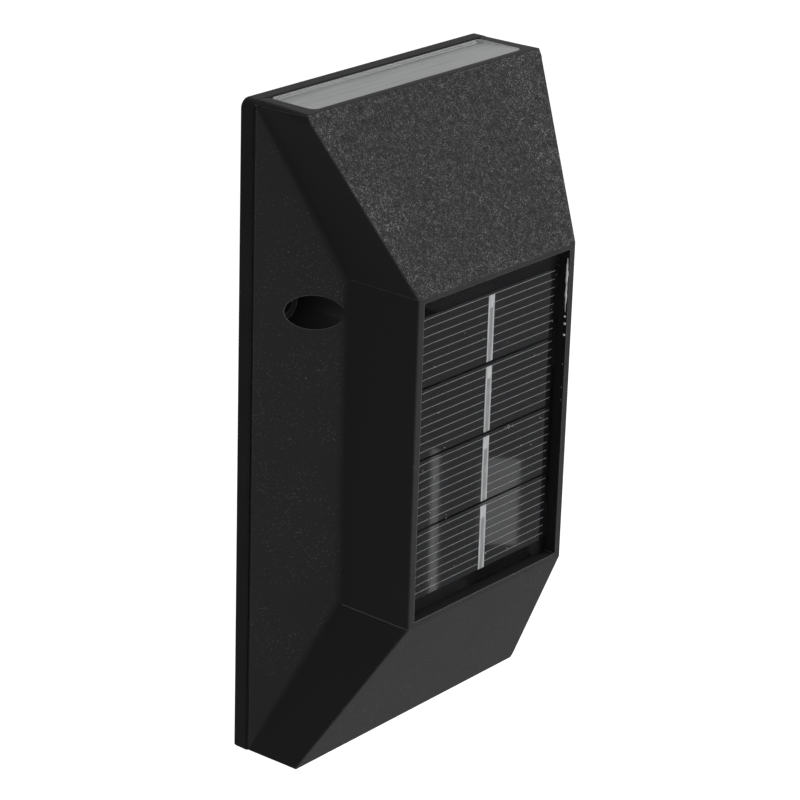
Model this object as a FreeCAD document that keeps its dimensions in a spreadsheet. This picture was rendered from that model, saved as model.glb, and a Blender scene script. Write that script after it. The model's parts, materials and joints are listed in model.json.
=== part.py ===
import FreeCAD
import Part
import Sketcher
import math
import os

# Solar fence light, in millimetres.  The back plate lies on the wall plane Y = 0 and the light
# stands out towards -Y, so a depth is a distance from the wall.  Z is up and zero is mid-height.

os.makedirs("parts", exist_ok=True)
doc = FreeCAD.newDocument("fence_light")
sheet = doc.addObject("Spreadsheet::Sheet", "Sizes")

driving_sizes = [
    # moulded housing
    ("body_height", 150.0),
    ("body_depth", 39.2),
    ("front_height", 75.0),
    ("end_depth", 17.9),
    ("end_draft", 0.4),
    ("top_lip", 1.7),
    ("rim_width", 76.6),
    ("waist_width", 53.4),
    ("skirt_depth", 19.2),
    ("skirt_fillet", 4.0),
    ("rim_land", 0.4),
    ("rim_radius", 3.0),
    ("tip_radius", 0.6),
    ("edge_radius", 0.4),
    ("wall", 1.9),
    ("overrun", 12.0),
    ("cut_margin", 1.0),
    # back plate and its seal
    ("plate_overhang", 0.6),
    ("plate_thickness", 3.5),
    ("plate_radius", 4.0),
    ("plate_edge", 0.5),
    ("seal_inset", 0.5),
    ("seal_width", 1.1),
    ("seal_height", 0.8),
    ("rib_height", 2.0),
    ("rib_width", 1.2),
    ("rib_length", 60.0),
    ("rib_drop", 20.0),
    ("rib_gap", 0.2),
    ("root_sink", 0.5),
    # wells and holes of the two wall screws
    ("well_spread", 30.6),
    ("well_rise", 29.5),
    ("well_radius", 3.8),
    ("well_wall", 1.5),
    ("well_floor", 2.3),
    ("wall_hole_radius", 2.25),
    # four screws that hold the back plate
    ("boss_spread", 28.5),
    ("boss_inset", 18.0),
    ("boss_radius", 3.2),
    ("pilot_radius", 1.1),
    ("screw_radius", 1.3),
    ("screw_gap", 0.2),
    ("screw_length", 8.0),
    ("pilot_clearance", 0.5),
    ("head_radius", 2.5),
    ("head_height", 1.7),
    ("head_round", 0.8),
    ("head_gap", 0.3),
    ("head_sink", 0.3),
    ("cross_width", 0.7),
    ("cross_length", 2.8),
    ("cross_depth", 1.0),
    # lens windows in the two ends
    ("lens_width", 69.0),
    ("lens_reach", 12.8),
    ("lens_height", 2.6),
    ("lens_drop", 0.5),
    ("lens_radius", 1.5),
    ("lens_gap", 0.1),
    ("lens_tab", 0.7),
    ("lens_tab_inset", 3.0),
    ("lens_line_inset", 1.2),
    ("lens_line_width", 0.3),
    ("flute_pitch", 1.6),
    ("flute_width", 1.45),
    ("flute_inset", 3.0),
    ("flute_depth", 0.5),
    # lamps and their boards
    ("lamp_drop", 9.0),
    ("lamp_board_depth", 10.0),
    ("lamp_board_thickness", 1.2),
    ("lamp_board_gap", 0.3),
    ("rail_thickness", 1.2),
    ("rail_reach", 1.6),
    ("slot_gap", 0.1),
    ("lamp_pitch", 10.0),
    ("lamp_width", 3.5),
    ("lamp_depth", 2.8),
    ("lamp_height", 0.8),
    ("lamp_dish_radius", 1.1),
    ("lamp_dish_depth", 0.2),
    # solar panel in its bezel
    ("bezel_side", 1.9),
    ("bezel_end", 1.2),
    ("resin_drop", 1.6),
    ("resin_height", 1.0),
    ("panel_board_thickness", 1.2),
    ("panel_gap", 0.25),
    ("tape_thickness", 0.5),
    ("tape_width", 4.0),
    ("panel_floor", 1.6),
    ("wire_hole_radius", 3.0),
    ("wire_hole_drop", 24.0),
    ("cell_width", 46.4),
    ("cell_offset", 0.2),
    ("cell_drop", 0.4),
    ("cell_pitch", 16.3),
    ("cell_gap", 0.5),
    ("cell_thickness", 0.2),
    ("ribbon_width", 2.0),
    ("ribbon_offset", 0.6),
    ("ribbon_top_inset", 0.6),
    ("ribbon_bottom_inset", 0.1),
    ("ribbon_thickness", 0.15),
    # rechargeable cell and its holder
    ("battery_radius", 7.0),
    ("battery_length", 50.5),
    ("sleeve_thickness", 0.2),
    ("sleeve_lip", 1.5),
    ("cap_radius", 2.75),
    ("cap_height", 1.2),
    ("cap_round", 0.4),
    ("holder_offset", 12.0),
    ("holder_stand", 2.0),
    ("holder_wall", 1.0),
    ("holder_floor", 1.5),
    ("holder_side", 10.0),
    ("holder_gap", 0.4),
    ("finger_gap_top", 21.0),
    ("finger_gap_bottom", 14.0),
    ("finger_gap_rise", 3.3),
    ("holder_screw_spread", 15.0),
    ("head_seat", 0.75),
    ("contact_thickness", 0.4),
    ("contact_width", 9.0),
    ("tab_width", 3.0),
    ("tab_lap", 1.0),
    ("tab_drop", 3.0),
    ("spring_length", 5.2),
    ("spring_wire", 0.35),
    ("spring_base", 5.0),
    ("spring_top", 2.6),
    # main board and what it carries
    ("board_offset", 12.5),
    ("board_width", 20.0),
    ("board_length", 44.0),
    ("board_thickness", 1.2),
    ("board_screw_inset", 3.0),
    ("post_radius", 2.6),
    ("small_screw_radius", 1.0),
    ("small_pilot_radius", 0.9),
    ("small_screw_length", 5.0),
    ("small_head_radius", 1.9),
    ("small_head_height", 1.3),
    ("small_head_round", 0.6),
    ("chip_width", 3.9),
    ("chip_length", 4.9),
    ("chip_height", 1.5),
    ("chip_stand", 0.1),
    ("chip_lead_width", 0.45),
    ("chip_lead_pitch", 1.27),
    ("chip_lead_reach", 1.0),
    ("chip_lead_height", 0.4),
    ("coil_radius", 3.0),
    ("coil_height", 6.0),
    ("coil_flange", 1.2),
    ("coil_waist", 2.1),
    ("can_radius", 2.5),
    ("can_height", 7.0),
    ("can_groove", 0.3),
    ("can_groove_rise", 1.4),
    ("part_rise", 9.5),
    ("part_spread", 5.0),
    # slide switch
    ("switch_drop", 10.0),
    ("switch_gap", 0.2),
    ("switch_width", 4.6),
    ("switch_length", 9.2),
    ("switch_height", 4.7),
    ("switch_skin", 0.5),
    ("switch_travel", 2.0),
    ("switch_pin_pitch", 2.5),
    ("switch_pin_width", 0.6),
    ("switch_pin_length", 2.0),
    ("pin_hole_radius", 0.45),
    ("knob_width", 2.6),
    ("knob_length", 2.8),
    ("knob_sink", 0.8),
    ("knob_foot", 0.5),
    ("knob_foot_height", 1.4),
    ("knob_gap", 0.15),
    ("knob_round", 0.3),
    ("access_gap", 0.3),
    ("access_margin", 2.2),
    ("access_radius", 1.1),
    ("access_depth", 1.3),
    # insulated leads
    ("lead_radius", 0.6),
    ("lead_pitch", 2.6),
    ("lead_bow", 5.0),
    ("lead_inset", 2.0),
    ("tab_solder_drop", 1.5),
]
for row, (alias, amount) in enumerate(driving_sizes, start=1):
    sheet.set(f"A{row}", alias)
    sheet.set(f"B{row}", str(amount))
    sheet.setAlias(f"B{row}", alias)
doc.recompute()

both = (1, -1)
pin_places = (-1, 0, 1)
lamp_count = 6
cell_count = 4
flute_count = 7
chip_lead_count = 4
spring_turns = 3
bend_share = 0.45
tolerance = 0.01

# ---------------------------------------------------------------- derived lengths, as expressions
half_height = "(Sizes.body_height / 2)"
half_front = "(Sizes.front_height / 2)"
half_rim = "(Sizes.rim_width / 2)"
half_waist = "(Sizes.waist_width / 2)"
half_plate = f"({half_rim} + Sizes.plate_overhang)"
flare = f"(({half_rim} - {half_waist}) / ({half_height} - {half_front}))"
flare_stretch = f"sqrt(1 + {flare} ^ 2)"
rim_front = "(Sizes.plate_thickness + Sizes.rim_land)"
skirt = f"((Sizes.skirt_depth - {rim_front}) / ({half_rim} - {half_waist}))"
skirt_stretch = f"sqrt(1 + {skirt} ^ 2)"
end_level = f"({half_height} - Sizes.end_draft)"
recess_depth = ("(Sizes.resin_drop + Sizes.resin_height + Sizes.panel_board_thickness"
                " + Sizes.tape_thickness)")
recess_floor = f"(Sizes.body_depth - {recess_depth})"
recess_half_width = f"({half_waist} - Sizes.bezel_side)"
recess_half_height = f"({half_front} - Sizes.bezel_end)"
panel_back = f"({recess_floor} + Sizes.tape_thickness)"
panel_face = f"({panel_back} + Sizes.panel_board_thickness)"
core_front = f"({recess_floor} - Sizes.panel_floor)"
core_end = f"({half_height} - Sizes.wall)"
clear_through = "(2 * Sizes.body_height)"
boss_rise = f"({half_height} - Sizes.boss_inset)"
lens_front = "(Sizes.plate_thickness + Sizes.lens_reach)"
lens_outer = f"({half_height} - Sizes.lens_drop)"
lamp_face = f"({half_height} - Sizes.lamp_drop)"
lamp_back = f"({lamp_face} - Sizes.lamp_board_thickness)"
switch_face = "(Sizes.plate_thickness + Sizes.switch_gap)"
board_back = f"({switch_face} + Sizes.switch_height)"
board_front = f"({board_back} + Sizes.board_thickness)"
board_screw_rise = "(Sizes.board_length / 2 - Sizes.board_screw_inset)"
holder_back = "(Sizes.plate_thickness + Sizes.holder_stand)"
holder_inside = f"({holder_back} + Sizes.holder_floor)"
battery_outside = "(Sizes.battery_radius + Sizes.sleeve_thickness)"
battery_depth = f"({holder_inside} + {battery_outside})"
holder_half_width = f"({battery_outside} + Sizes.holder_gap)"
holder_half_length = ("((Sizes.battery_length + Sizes.spring_length) / 2"
                      " + Sizes.contact_thickness)")
battery_top = f"({holder_half_length} - Sizes.contact_thickness)"
battery_bottom = f"({battery_top} - Sizes.battery_length)"


def value(expression):
    return float(sheet.evalExpression(expression))


def side_wall(level, inset):
    """Half-width of the flared side wall at a level, moved inwards by inset."""
    return f"({half_waist} + ({level} - {half_front}) * {flare} - {inset} * {flare_stretch})"


def skirt_at(across, inset):
    """Depth of the skirt at a distance from the middle, moved inwards by inset."""
    return (f"({rim_front} + ({half_rim} - {across}) * {skirt}"
            f" - {inset} * {skirt_stretch})")


def across_skirt(depth, inset):
    """Distance from the middle at which the inset skirt reaches a depth."""
    return (f"({half_rim} - ({depth} - {rim_front} + {inset} * {skirt_stretch})"
            f" / {skirt})")


def end_slope(corner):
    """Rise over depth of the sloping face that ends at a corner level."""
    return f"(({corner} - {half_front}) / (Sizes.body_depth - Sizes.end_depth))"


def slope_level(corner, depth, inset):
    rate = end_slope(corner)
    return f"({half_front} + (Sizes.body_depth - {depth}) * {rate} - {inset} * sqrt(1 + {rate} ^ 2))"


def slope_depth(corner, level, inset):
    rate = end_slope(corner)
    return (f"(Sizes.body_depth - ({level} + {inset} * sqrt(1 + {rate} ^ 2) - {half_front})"
            f" / {rate})")


# ---------------------------------------------------------------- bodies, sketches and features
nodes = []


def new_body(name):
    body = doc.addObject("PartDesign::Body", name)
    body.Label = name
    body.AllowCompound = True
    return body


def new_part(name):
    body = new_body(name)
    nodes.append(body)
    return body


def sketch_on(body, role, offset="0"):
    plane = next(item for item in body.Origin.OriginFeatures if item.Role == role)
    sketch = body.newObject("Sketcher::SketchObject", body.Name + "_sketch")
    sketch.AttachmentSupport = [(plane, "")]
    sketch.MapMode = "FlatFace"
    sketch.setExpression("AttachmentOffset.Base.z", offset)
    return sketch


def facing(body, depth):
    """Sketch on a plane parallel to the wall; its axes are X and Z."""
    return sketch_on(body, "XZ_Plane", depth)


def level(body, height):
    """Sketch on a level plane; its axes are X and Y."""
    return sketch_on(body, "XY_Plane", height)


def upright(body, across):
    """Sketch on a plane square to the wall; its axes are Y and Z."""
    return sketch_on(body, "YZ_Plane", across)


def pin(sketch, geometry, point, across, along):
    """Fix a point of the sketch at two bound distances from its origin."""
    for kind, expression in (("DistanceX", across), ("DistanceY", along)):
        constraint = Sketcher.Constraint(kind, -1, 1, geometry, point, value(expression))
        number = sketch.addConstraint(constraint)
        sketch.setExpression(f"Constraints[{number}]", expression)


def draw(sketch, corners):
    """Closed outline of straight lines through the corners."""
    start = sketch.GeometryCount
    count = len(corners)
    places = [FreeCAD.Vector(value(across), value(along), 0) for across, along in corners]
    for index in range(count):
        line = Part.LineSegment(places[index], places[(index + 1) % count])
        sketch.addGeometry(line, False)
    for index in range(count):
        following = start + (index + 1) % count
        sketch.addConstraint(Sketcher.Constraint("Coincident", start + index, 2, following, 1))
    for index, (across, along) in enumerate(corners):
        pin(sketch, start + index, 1, across, along)


def box(sketch, low_across, low_along, high_across, high_along):
    draw(sketch, [(low_across, low_along), (high_across, low_along),
                  (high_across, high_along), (low_across, high_along)])


def centred_box(sketch, across, along, half_width, half_length):
    box(sketch, f"{across} - {half_width}", f"{along} - {half_length}",
        f"{across} + {half_width}", f"{along} + {half_length}")


def rounded_box(sketch, low_across, low_along, high_across, high_along, radius):
    """Rectangle whose corners are arcs; every tangent point is pinned."""
    edges = [
        ((f"{low_across} + {radius}", low_along), (f"{high_across} - {radius}", low_along)),
        ((high_across, f"{low_along} + {radius}"), (high_across, f"{high_along} - {radius}")),
        ((f"{high_across} - {radius}", high_along), (f"{low_across} + {radius}", high_along)),
        ((low_across, f"{high_along} - {radius}"), (low_across, f"{low_along} + {radius}")),
    ]
    start = sketch.GeometryCount
    ends = [[FreeCAD.Vector(value(across), value(along), 0) for across, along in edge]
            for edge in edges]
    for begin, finish in ends:
        sketch.addGeometry(Part.LineSegment(begin, finish), False)
    reach = value(radius)
    for index, quarter in enumerate((-0.5, 0.0, 0.5, 1.0)):
        following = ends[(index + 1) % 4]
        along_x = following[0].x if index % 2 else ends[index][1].x
        along_y = ends[index][1].y if index % 2 else following[0].y
        centre = FreeCAD.Vector(along_x, along_y, 0)
        circle = Part.Circle(centre, FreeCAD.Vector(0, 0, 1), reach)
        turn = quarter * math.pi
        sketch.addGeometry(Part.ArcOfCircle(circle, turn, turn + math.pi / 2), False)
    for index in range(4):
        arc = start + 4 + index
        sketch.addConstraint(Sketcher.Constraint("Coincident", arc, 1, start + index, 2))
        sketch.addConstraint(Sketcher.Constraint("Coincident", arc, 2, start + (index + 1) % 4, 1))
        number = sketch.addConstraint(Sketcher.Constraint("Radius", arc, reach))
        sketch.setExpression(f"Constraints[{number}]", radius)
    for index, edge in enumerate(edges):
        for point, (across, along) in enumerate(edge, start=1):
            pin(sketch, start + index, point, across, along)


def ring(sketch, across, along, radius):
    centre = FreeCAD.Vector(value(across), value(along), 0)
    circle = Part.Circle(centre, FreeCAD.Vector(0, 0, 1), value(radius))
    geometry = sketch.addGeometry(circle, False)
    pin(sketch, geometry, 3, across, along)
    number = sketch.addConstraint(Sketcher.Constraint("Radius", geometry, value(radius)))
    sketch.setExpression(f"Constraints[{number}]", radius)


def finish(body, feature):
    body.Tip = feature
    doc.recompute()
    if "Invalid" in feature.State or "Error" in feature.State:
        raise RuntimeError(f"{feature.Label} of {body.Label} failed")
    return feature


def pad(body, sketch, length, symmetric=False, backwards=False):
    """Adds the profile, along the sketch's normal unless backwards."""
    feature = body.newObject("PartDesign::Pad", body.Name + "_pad")
    feature.Profile = sketch
    feature.SideType = "Symmetric" if symmetric else "One side"
    feature.Reversed = backwards
    feature.setExpression("Length", length)
    return finish(body, feature)


def pocket(body, sketch, length, symmetric=False, forwards=False):
    """Cuts the profile, against the sketch's normal unless forwards."""
    before = body.Shape.Volume
    feature = body.newObject("PartDesign::Pocket", body.Name + "_pocket")
    feature.Profile = sketch
    feature.SideType = "Symmetric" if symmetric else "One side"
    feature.Reversed = forwards
    feature.setExpression("Length", length)
    finish(body, feature)
    if not feature.Shape.Volume < before:
        raise RuntimeError(f"{feature.Label} of {body.Label} cuts nothing")
    return feature


def turn(body, sketch, axis="V_Axis"):
    feature = body.newObject("PartDesign::Revolution", body.Name + "_turn")
    feature.Profile = sketch
    feature.ReferenceAxis = (sketch, [axis])
    feature.Angle = 360.0
    return finish(body, feature)


def round_edges(body, radius, chosen):
    """Rounds the edges whose shape passes the chosen test."""
    base = body.Tip
    names = [f"Edge{index}" for index, edge in enumerate(base.Shape.Edges, start=1) if chosen(edge)]
    if not names:
        raise RuntimeError(f"{body.Label} has no edge to round")
    feature = body.newObject("PartDesign::Fillet", body.Name + "_fillet")
    feature.Base = (base, names)
    feature.setExpression("Radius", radius)
    return finish(body, feature)


def cut_with(body, tool):
    feature = body.newObject("PartDesign::Boolean", body.Name + "_cut")
    feature.addObject(tool)
    feature.Type = "Cut"
    return finish(body, feature)


def loft_away(body, first, second):
    before = body.Shape.Volume
    feature = body.newObject("PartDesign::SubtractiveLoft", body.Name + "_loft")
    feature.Profile = first
    feature.Sections = [second]
    feature.Ruled = True
    finish(body, feature)
    if not feature.Shape.Volume < before:
        raise RuntimeError(f"{feature.Label} of {body.Label} cuts nothing")
    return feature


# ---------------------------------------------------------------- moulded housing
def add_form(body, inset, back, front, top, bottom):
    """Waisted block and skirts of the housing, before their ends are shaped."""
    waist = f"({half_waist} - {inset})"
    shoulder = f"({half_front} + {inset} * ({flare_stretch} - 1) / {flare})"
    sketch = facing(body, back)
    draw(sketch, [(side_wall(top, inset), top), (waist, shoulder), (waist, f"-{shoulder}"),
                  (side_wall(bottom, inset), f"-{bottom}"),
                  (f"-{side_wall(bottom, inset)}", f"-{bottom}"), (f"-{waist}", f"-{shoulder}"),
                  (f"-{waist}", shoulder), (f"-{side_wall(top, inset)}", top)])
    pad(body, sketch, f"{front} - {back}")
    sketch = level(body, f"-{bottom}")
    draw(sketch, [(across_skirt(back, inset), f"-({back})"), (waist, f"-{skirt_at(waist, inset)}"),
                  (f"-{waist}", f"-{skirt_at(waist, inset)}"),
                  (f"-{across_skirt(back, inset)}", f"-({back})")])
    pad(body, sketch, f"{top} + {bottom}")


def keep_profile(body, profile, reach):
    """Cuts away everything outside a side profile, given as depths and levels."""
    sketch = upright(body, "0")
    box(sketch, f"-{reach}", f"-{reach}", reach, reach)
    draw(sketch, [(f"-({depth})", height) for depth, height in profile])
    pocket(body, sketch, clear_through, symmetric=True)


def is_level(edge):
    return abs(edge.Vertexes[0].Z - edge.Vertexes[-1].Z) < tolerance


def is_skirt_root(edge):
    """Concave edges where the skirts run into the side walls: both ends lie on a skirt."""
    on_side = abs(edge.CenterOfMass.x) > value(half_waist) - tolerance
    on_border = abs(edge.CenterOfMass.y - value("Sizes.overrun")) < tolerance
    if is_level(edge) or on_border or not on_side:
        return False
    return all(abs(-vertex.Y - value(skirt_at(repr(abs(vertex.X)), "0"))) < tolerance
               for vertex in edge.Vertexes)


def is_outer_edge(edge):
    """Edges of the front face, of the lip over it and of the sides of the sloping faces."""
    near = -edge.BoundBox.YMax
    far = -edge.BoundBox.YMin
    on_ends = near > value("Sizes.end_depth") - tolerance
    on_bottom_rim = edge.BoundBox.ZMax < tolerance - value(end_level)
    wall_fold = is_level(edge) and far - near > value("Sizes.cut_margin")
    beyond_skirt = far > value("Sizes.skirt_depth") + tolerance
    return on_ends and not on_bottom_rim and not (wall_fold and beyond_skirt)


def shape_core():
    """The space inside the housing: its bosses, wells and rails are what the core leaves out."""
    core = new_body("housing_core")
    back = "(Sizes.plate_thickness - Sizes.cut_margin)"
    top_corner = f"({end_level} - Sizes.top_lip)"
    beyond = f"({core_end} + Sizes.cut_margin)"
    add_form(core, "Sizes.wall", back, core_front, beyond, beyond)
    keep_profile(core, [
        (back, core_end),
        (slope_depth(top_corner, core_end, "Sizes.wall"), core_end),
        (core_front, slope_level(top_corner, core_front, "Sizes.wall")),
        (core_front, f"-{slope_level(end_level, core_front, 'Sizes.wall')}"),
        (slope_depth(end_level, core_end, "Sizes.wall"), f"-{core_end}"),
        (back, f"-{core_end}"),
    ], clear_through)
    sketch = facing(core, back)
    for side in both:
        for end in both:
            ring(sketch, f"{side} * Sizes.boss_spread", f"{end} * {boss_rise}",
                 "Sizes.boss_radius")
    pocket(core, sketch, "Sizes.body_depth", forwards=True)
    sketch = facing(core, back)
    for side in both:
        ring(sketch, f"{side} * Sizes.well_spread", "Sizes.well_rise",
             "(Sizes.well_radius + Sizes.well_wall)")
    pocket(core, sketch, "Sizes.body_depth", forwards=True)
    leave_rails(core, back)
    return core


def leave_rails(core, back):
    """Two rails at each end of each lamp board, one on either side of its slot."""
    slot_face = f"({lamp_face} + Sizes.slot_gap)"
    inner = f"({side_wall(lamp_back, 'Sizes.wall')} - Sizes.lamp_board_gap - Sizes.rail_reach)"
    half_wall = "(Sizes.wall / 2)"
    sketch = facing(core, back)
    for side in both:
        for end in both:
            for low, high in ((slot_face, f"({slot_face} + Sizes.rail_thickness)"),
                              (f"({lamp_back} - Sizes.rail_thickness)", lamp_back)):
                draw(sketch, [(f"{side} * {inner}", f"{end} * {low}"),
                              (f"{side} * {side_wall(low, half_wall)}", f"{end} * {low}"),
                              (f"{side} * {side_wall(high, half_wall)}", f"{end} * {high}"),
                              (f"{side} * {inner}", f"{end} * {high}")])
    pocket(core, sketch, "Sizes.cut_margin + Sizes.lamp_board_depth", forwards=True)


def corner_profile(body, side, end, depth, radius, height):
    """A square past one corner of the rim, less the quarter disc that stays."""
    sketch = facing(body, depth)
    far_across = f"({half_rim} + Sizes.cut_margin)"
    far_along = f"({height} + Sizes.cut_margin)"
    route = [(f"({half_rim} - {radius})", height), (f"({half_rim} - {radius})", far_along),
             (far_across, far_along), (far_across, f"({height} - {radius})"),
             (half_rim, f"({height} - {radius})")]
    corners = [(f"{side} * {across}", f"{end} * {along}") for across, along in route]
    places = [FreeCAD.Vector(value(across), value(along), 0) for across, along in corners]
    lines = range(len(places) - 1)
    for index in lines:
        sketch.addGeometry(Part.LineSegment(places[index], places[index + 1]), False)
    centre = FreeCAD.Vector(places[0].x, places[-1].y, 0)
    begin = math.atan2(end, side) - math.pi / 4
    circle = Part.Circle(centre, FreeCAD.Vector(0, 0, 1), value(radius))
    arc = sketch.addGeometry(Part.ArcOfCircle(circle, begin, begin + math.pi / 2), False)
    arc_first, arc_last = (2, 1) if side == end else (1, 2)
    for index in lines[1:]:
        sketch.addConstraint(Sketcher.Constraint("Coincident", index - 1, 2, index, 1))
    sketch.addConstraint(Sketcher.Constraint("Coincident", arc, arc_first, lines[0], 1))
    sketch.addConstraint(Sketcher.Constraint("Coincident", arc, arc_last, lines[-1], 2))
    number = sketch.addConstraint(Sketcher.Constraint("Radius", arc, value(radius)))
    sketch.setExpression(f"Constraints[{number}]", radius)
    for index in lines:
        pin(sketch, index, 1, *corners[index])
    pin(sketch, lines[-1], 2, *corners[-1])
    return sketch


def round_corner(body, side, end):
    """Corner of the rim, rounded fully at the back plate and almost sharp at the front."""
    back = corner_profile(body, side, end, "Sizes.plate_thickness", "Sizes.rim_radius",
                          half_height)
    front = corner_profile(body, side, end, "Sizes.end_depth", "Sizes.tip_radius", end_level)
    loft_away(body, back, front)


def trim_sides(housing, back):
    """Cuts the skirts and the flared walls off at the width of the rim."""
    sketch = facing(housing, back)
    box(sketch, f"-{clear_through}", f"-{clear_through}", clear_through, clear_through)
    centred_box(sketch, "0", "0", half_rim, f"({half_height} + Sizes.cut_margin)")
    pocket(housing, sketch, clear_through, forwards=True)


def make_front_housing():
    housing = new_part("front_housing")
    back = "-Sizes.overrun"
    beyond = f"({half_height} + Sizes.overrun)"
    top_corner = f"({end_level} - Sizes.top_lip)"
    add_form(housing, "0", back, "Sizes.body_depth", beyond, beyond)
    round_edges(housing, "Sizes.skirt_fillet", is_skirt_root)
    keep_profile(housing, [
        ("Sizes.plate_thickness", half_height), ("Sizes.end_depth", end_level),
        ("Sizes.end_depth", top_corner), ("Sizes.body_depth", half_front),
        ("Sizes.body_depth", f"-{half_front}"), ("Sizes.end_depth", f"-{end_level}"),
        ("Sizes.plate_thickness", f"-{half_height}"),
    ], clear_through)
    trim_sides(housing, back)
    round_edges(housing, "Sizes.edge_radius", is_outer_edge)
    for side in both:
        for end in both:
            round_corner(housing, side, end)
    cut_with(housing, shape_core())
    cut_recess(housing)
    cut_windows(housing)
    cut_screw_holes(housing)


def cut_recess(housing):
    sketch = facing(housing, "Sizes.body_depth")
    centred_box(sketch, "0", "0", recess_half_width, recess_half_height)
    pocket(housing, sketch, recess_depth)
    sketch = facing(housing, "Sizes.body_depth")
    ring(sketch, "0", "-Sizes.wire_hole_drop", "Sizes.wire_hole_radius")
    pocket(housing, sketch, f"{recess_depth} + Sizes.panel_floor + Sizes.cut_margin")


def cut_windows(housing):
    half = "(Sizes.lens_width / 2)"
    for end in both:
        sketch = level(housing, f"{end} * {half_height}")
        rounded_box(sketch, f"-{half}", f"-{lens_front}", half, "Sizes.overrun",
                    "Sizes.lens_radius")
        pocket(housing, sketch, "Sizes.lens_drop + Sizes.lens_height + Sizes.lens_gap",
               forwards=end < 0)


def cut_screw_holes(housing):
    sketch = facing(housing, "Sizes.body_depth")
    for side in both:
        ring(sketch, f"{side} * Sizes.well_spread", "Sizes.well_rise", "Sizes.well_radius")
    pocket(housing, sketch, "Sizes.body_depth - Sizes.plate_thickness - Sizes.well_floor")
    sketch = facing(housing, "Sizes.body_depth")
    for side in both:
        ring(sketch, f"{side} * Sizes.well_spread", "Sizes.well_rise", "Sizes.wall_hole_radius")
    pocket(housing, sketch, "Sizes.body_depth")
    sketch = facing(housing, "0")
    for side in both:
        for end in both:
            ring(sketch, f"{side} * Sizes.boss_spread", f"{end} * {boss_rise}",
                 "Sizes.pilot_radius")
    pocket(housing, sketch, "Sizes.head_sink + Sizes.head_height + Sizes.screw_length"
           " + Sizes.pilot_clearance", forwards=True)


# ---------------------------------------------------------------- back plate and seal
def seal_outline(sketch, inset):
    radius = f"(Sizes.rim_radius - {inset})"
    rounded_box(sketch, f"-({half_rim} - {inset})", f"-({half_height} - {inset})",
                f"({half_rim} - {inset})", f"({half_height} - {inset})", radius)


def make_back_plate():
    plate = new_part("back_plate")
    sketch = facing(plate, "0")
    rounded_box(sketch, f"-{half_plate}", f"-{half_height}", half_plate, half_height,
                "Sizes.plate_radius")
    pad(plate, sketch, "Sizes.plate_thickness")
    round_edges(plate, "Sizes.plate_edge", lambda edge: edge.BoundBox.YLength < tolerance)
    add_posts(plate)
    sketch = facing(plate, "Sizes.plate_thickness")
    seal_outline(sketch, "Sizes.seal_inset")
    seal_outline(sketch, "(Sizes.seal_inset + Sizes.seal_width)")
    pocket(plate, sketch, "Sizes.seal_height")
    cut_plate_holes(plate)


def add_posts(plate):
    """Posts for the main board and the holder, and ribs that centre the housing."""
    sketch = facing(plate, "Sizes.plate_thickness - Sizes.root_sink")
    for end in both:
        ring(sketch, "Sizes.board_offset", f"{end} * {board_screw_rise}", "Sizes.post_radius")
    pad(plate, sketch, f"{board_back} - Sizes.plate_thickness + Sizes.root_sink")
    sketch = facing(plate, "Sizes.plate_thickness - Sizes.root_sink")
    for end in both:
        ring(sketch, "-Sizes.holder_offset", f"{end} * Sizes.holder_screw_spread",
             "Sizes.post_radius")
    pad(plate, sketch, "Sizes.holder_stand + Sizes.root_sink")
    rib_top = "(Sizes.plate_thickness + Sizes.rib_height)"
    outer = f"({across_skirt(rib_top, 'Sizes.wall')} - Sizes.rib_gap)"
    sketch = facing(plate, "Sizes.plate_thickness - Sizes.root_sink")
    for side in both:
        centred_box(sketch, f"{side} * ({outer} - Sizes.rib_width / 2)", "-Sizes.rib_drop",
                    "Sizes.rib_width / 2", "Sizes.rib_length / 2")
    pad(plate, sketch, "Sizes.rib_height + Sizes.root_sink")


def cut_plate_holes(plate):
    sketch = facing(plate, "0")
    for side in both:
        ring(sketch, f"{side} * Sizes.well_spread", "Sizes.well_rise", "Sizes.wall_hole_radius")
        for end in both:
            ring(sketch, f"{side} * Sizes.boss_spread", f"{end} * {boss_rise}",
                 "(Sizes.screw_radius + Sizes.screw_gap)")
    centred_box(sketch, "Sizes.board_offset", "-Sizes.switch_drop",
                "(Sizes.knob_width / 2 + Sizes.access_gap)",
                "((Sizes.knob_length + Sizes.switch_travel) / 2 + Sizes.access_gap)")
    pocket(plate, sketch, "Sizes.plate_thickness", forwards=True)
    sketch = facing(plate, "0")
    for side in both:
        for end in both:
            ring(sketch, f"{side} * Sizes.boss_spread", f"{end} * {boss_rise}",
                 "(Sizes.head_radius + Sizes.head_gap)")
    pocket(plate, sketch, "Sizes.head_sink + Sizes.head_height", forwards=True)
    sketch = facing(plate, "0")
    half_width = "(Sizes.knob_width / 2 + Sizes.access_margin)"
    half_length = "((Sizes.knob_length + Sizes.switch_travel) / 2 + Sizes.access_margin)"
    rounded_box(sketch, f"Sizes.board_offset - {half_width}", f"-Sizes.switch_drop - {half_length}",
                f"Sizes.board_offset + {half_width}", f"-Sizes.switch_drop + {half_length}",
                "Sizes.access_radius")
    pocket(plate, sketch, "Sizes.access_depth", forwards=True)
    sketch = facing(plate, board_back)
    for end in both:
        ring(sketch, "Sizes.board_offset", f"{end} * {board_screw_rise}",
             "Sizes.small_pilot_radius")
    pocket(plate, sketch, "Sizes.small_screw_length - Sizes.board_thickness + Sizes.pilot_clearance")
    sketch = facing(plate, holder_back)
    for end in both:
        ring(sketch, "-Sizes.holder_offset", f"{end} * Sizes.holder_screw_spread",
             "Sizes.small_pilot_radius")
    pocket(plate, sketch, "Sizes.small_screw_length - Sizes.holder_floor + Sizes.pilot_clearance")


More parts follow.
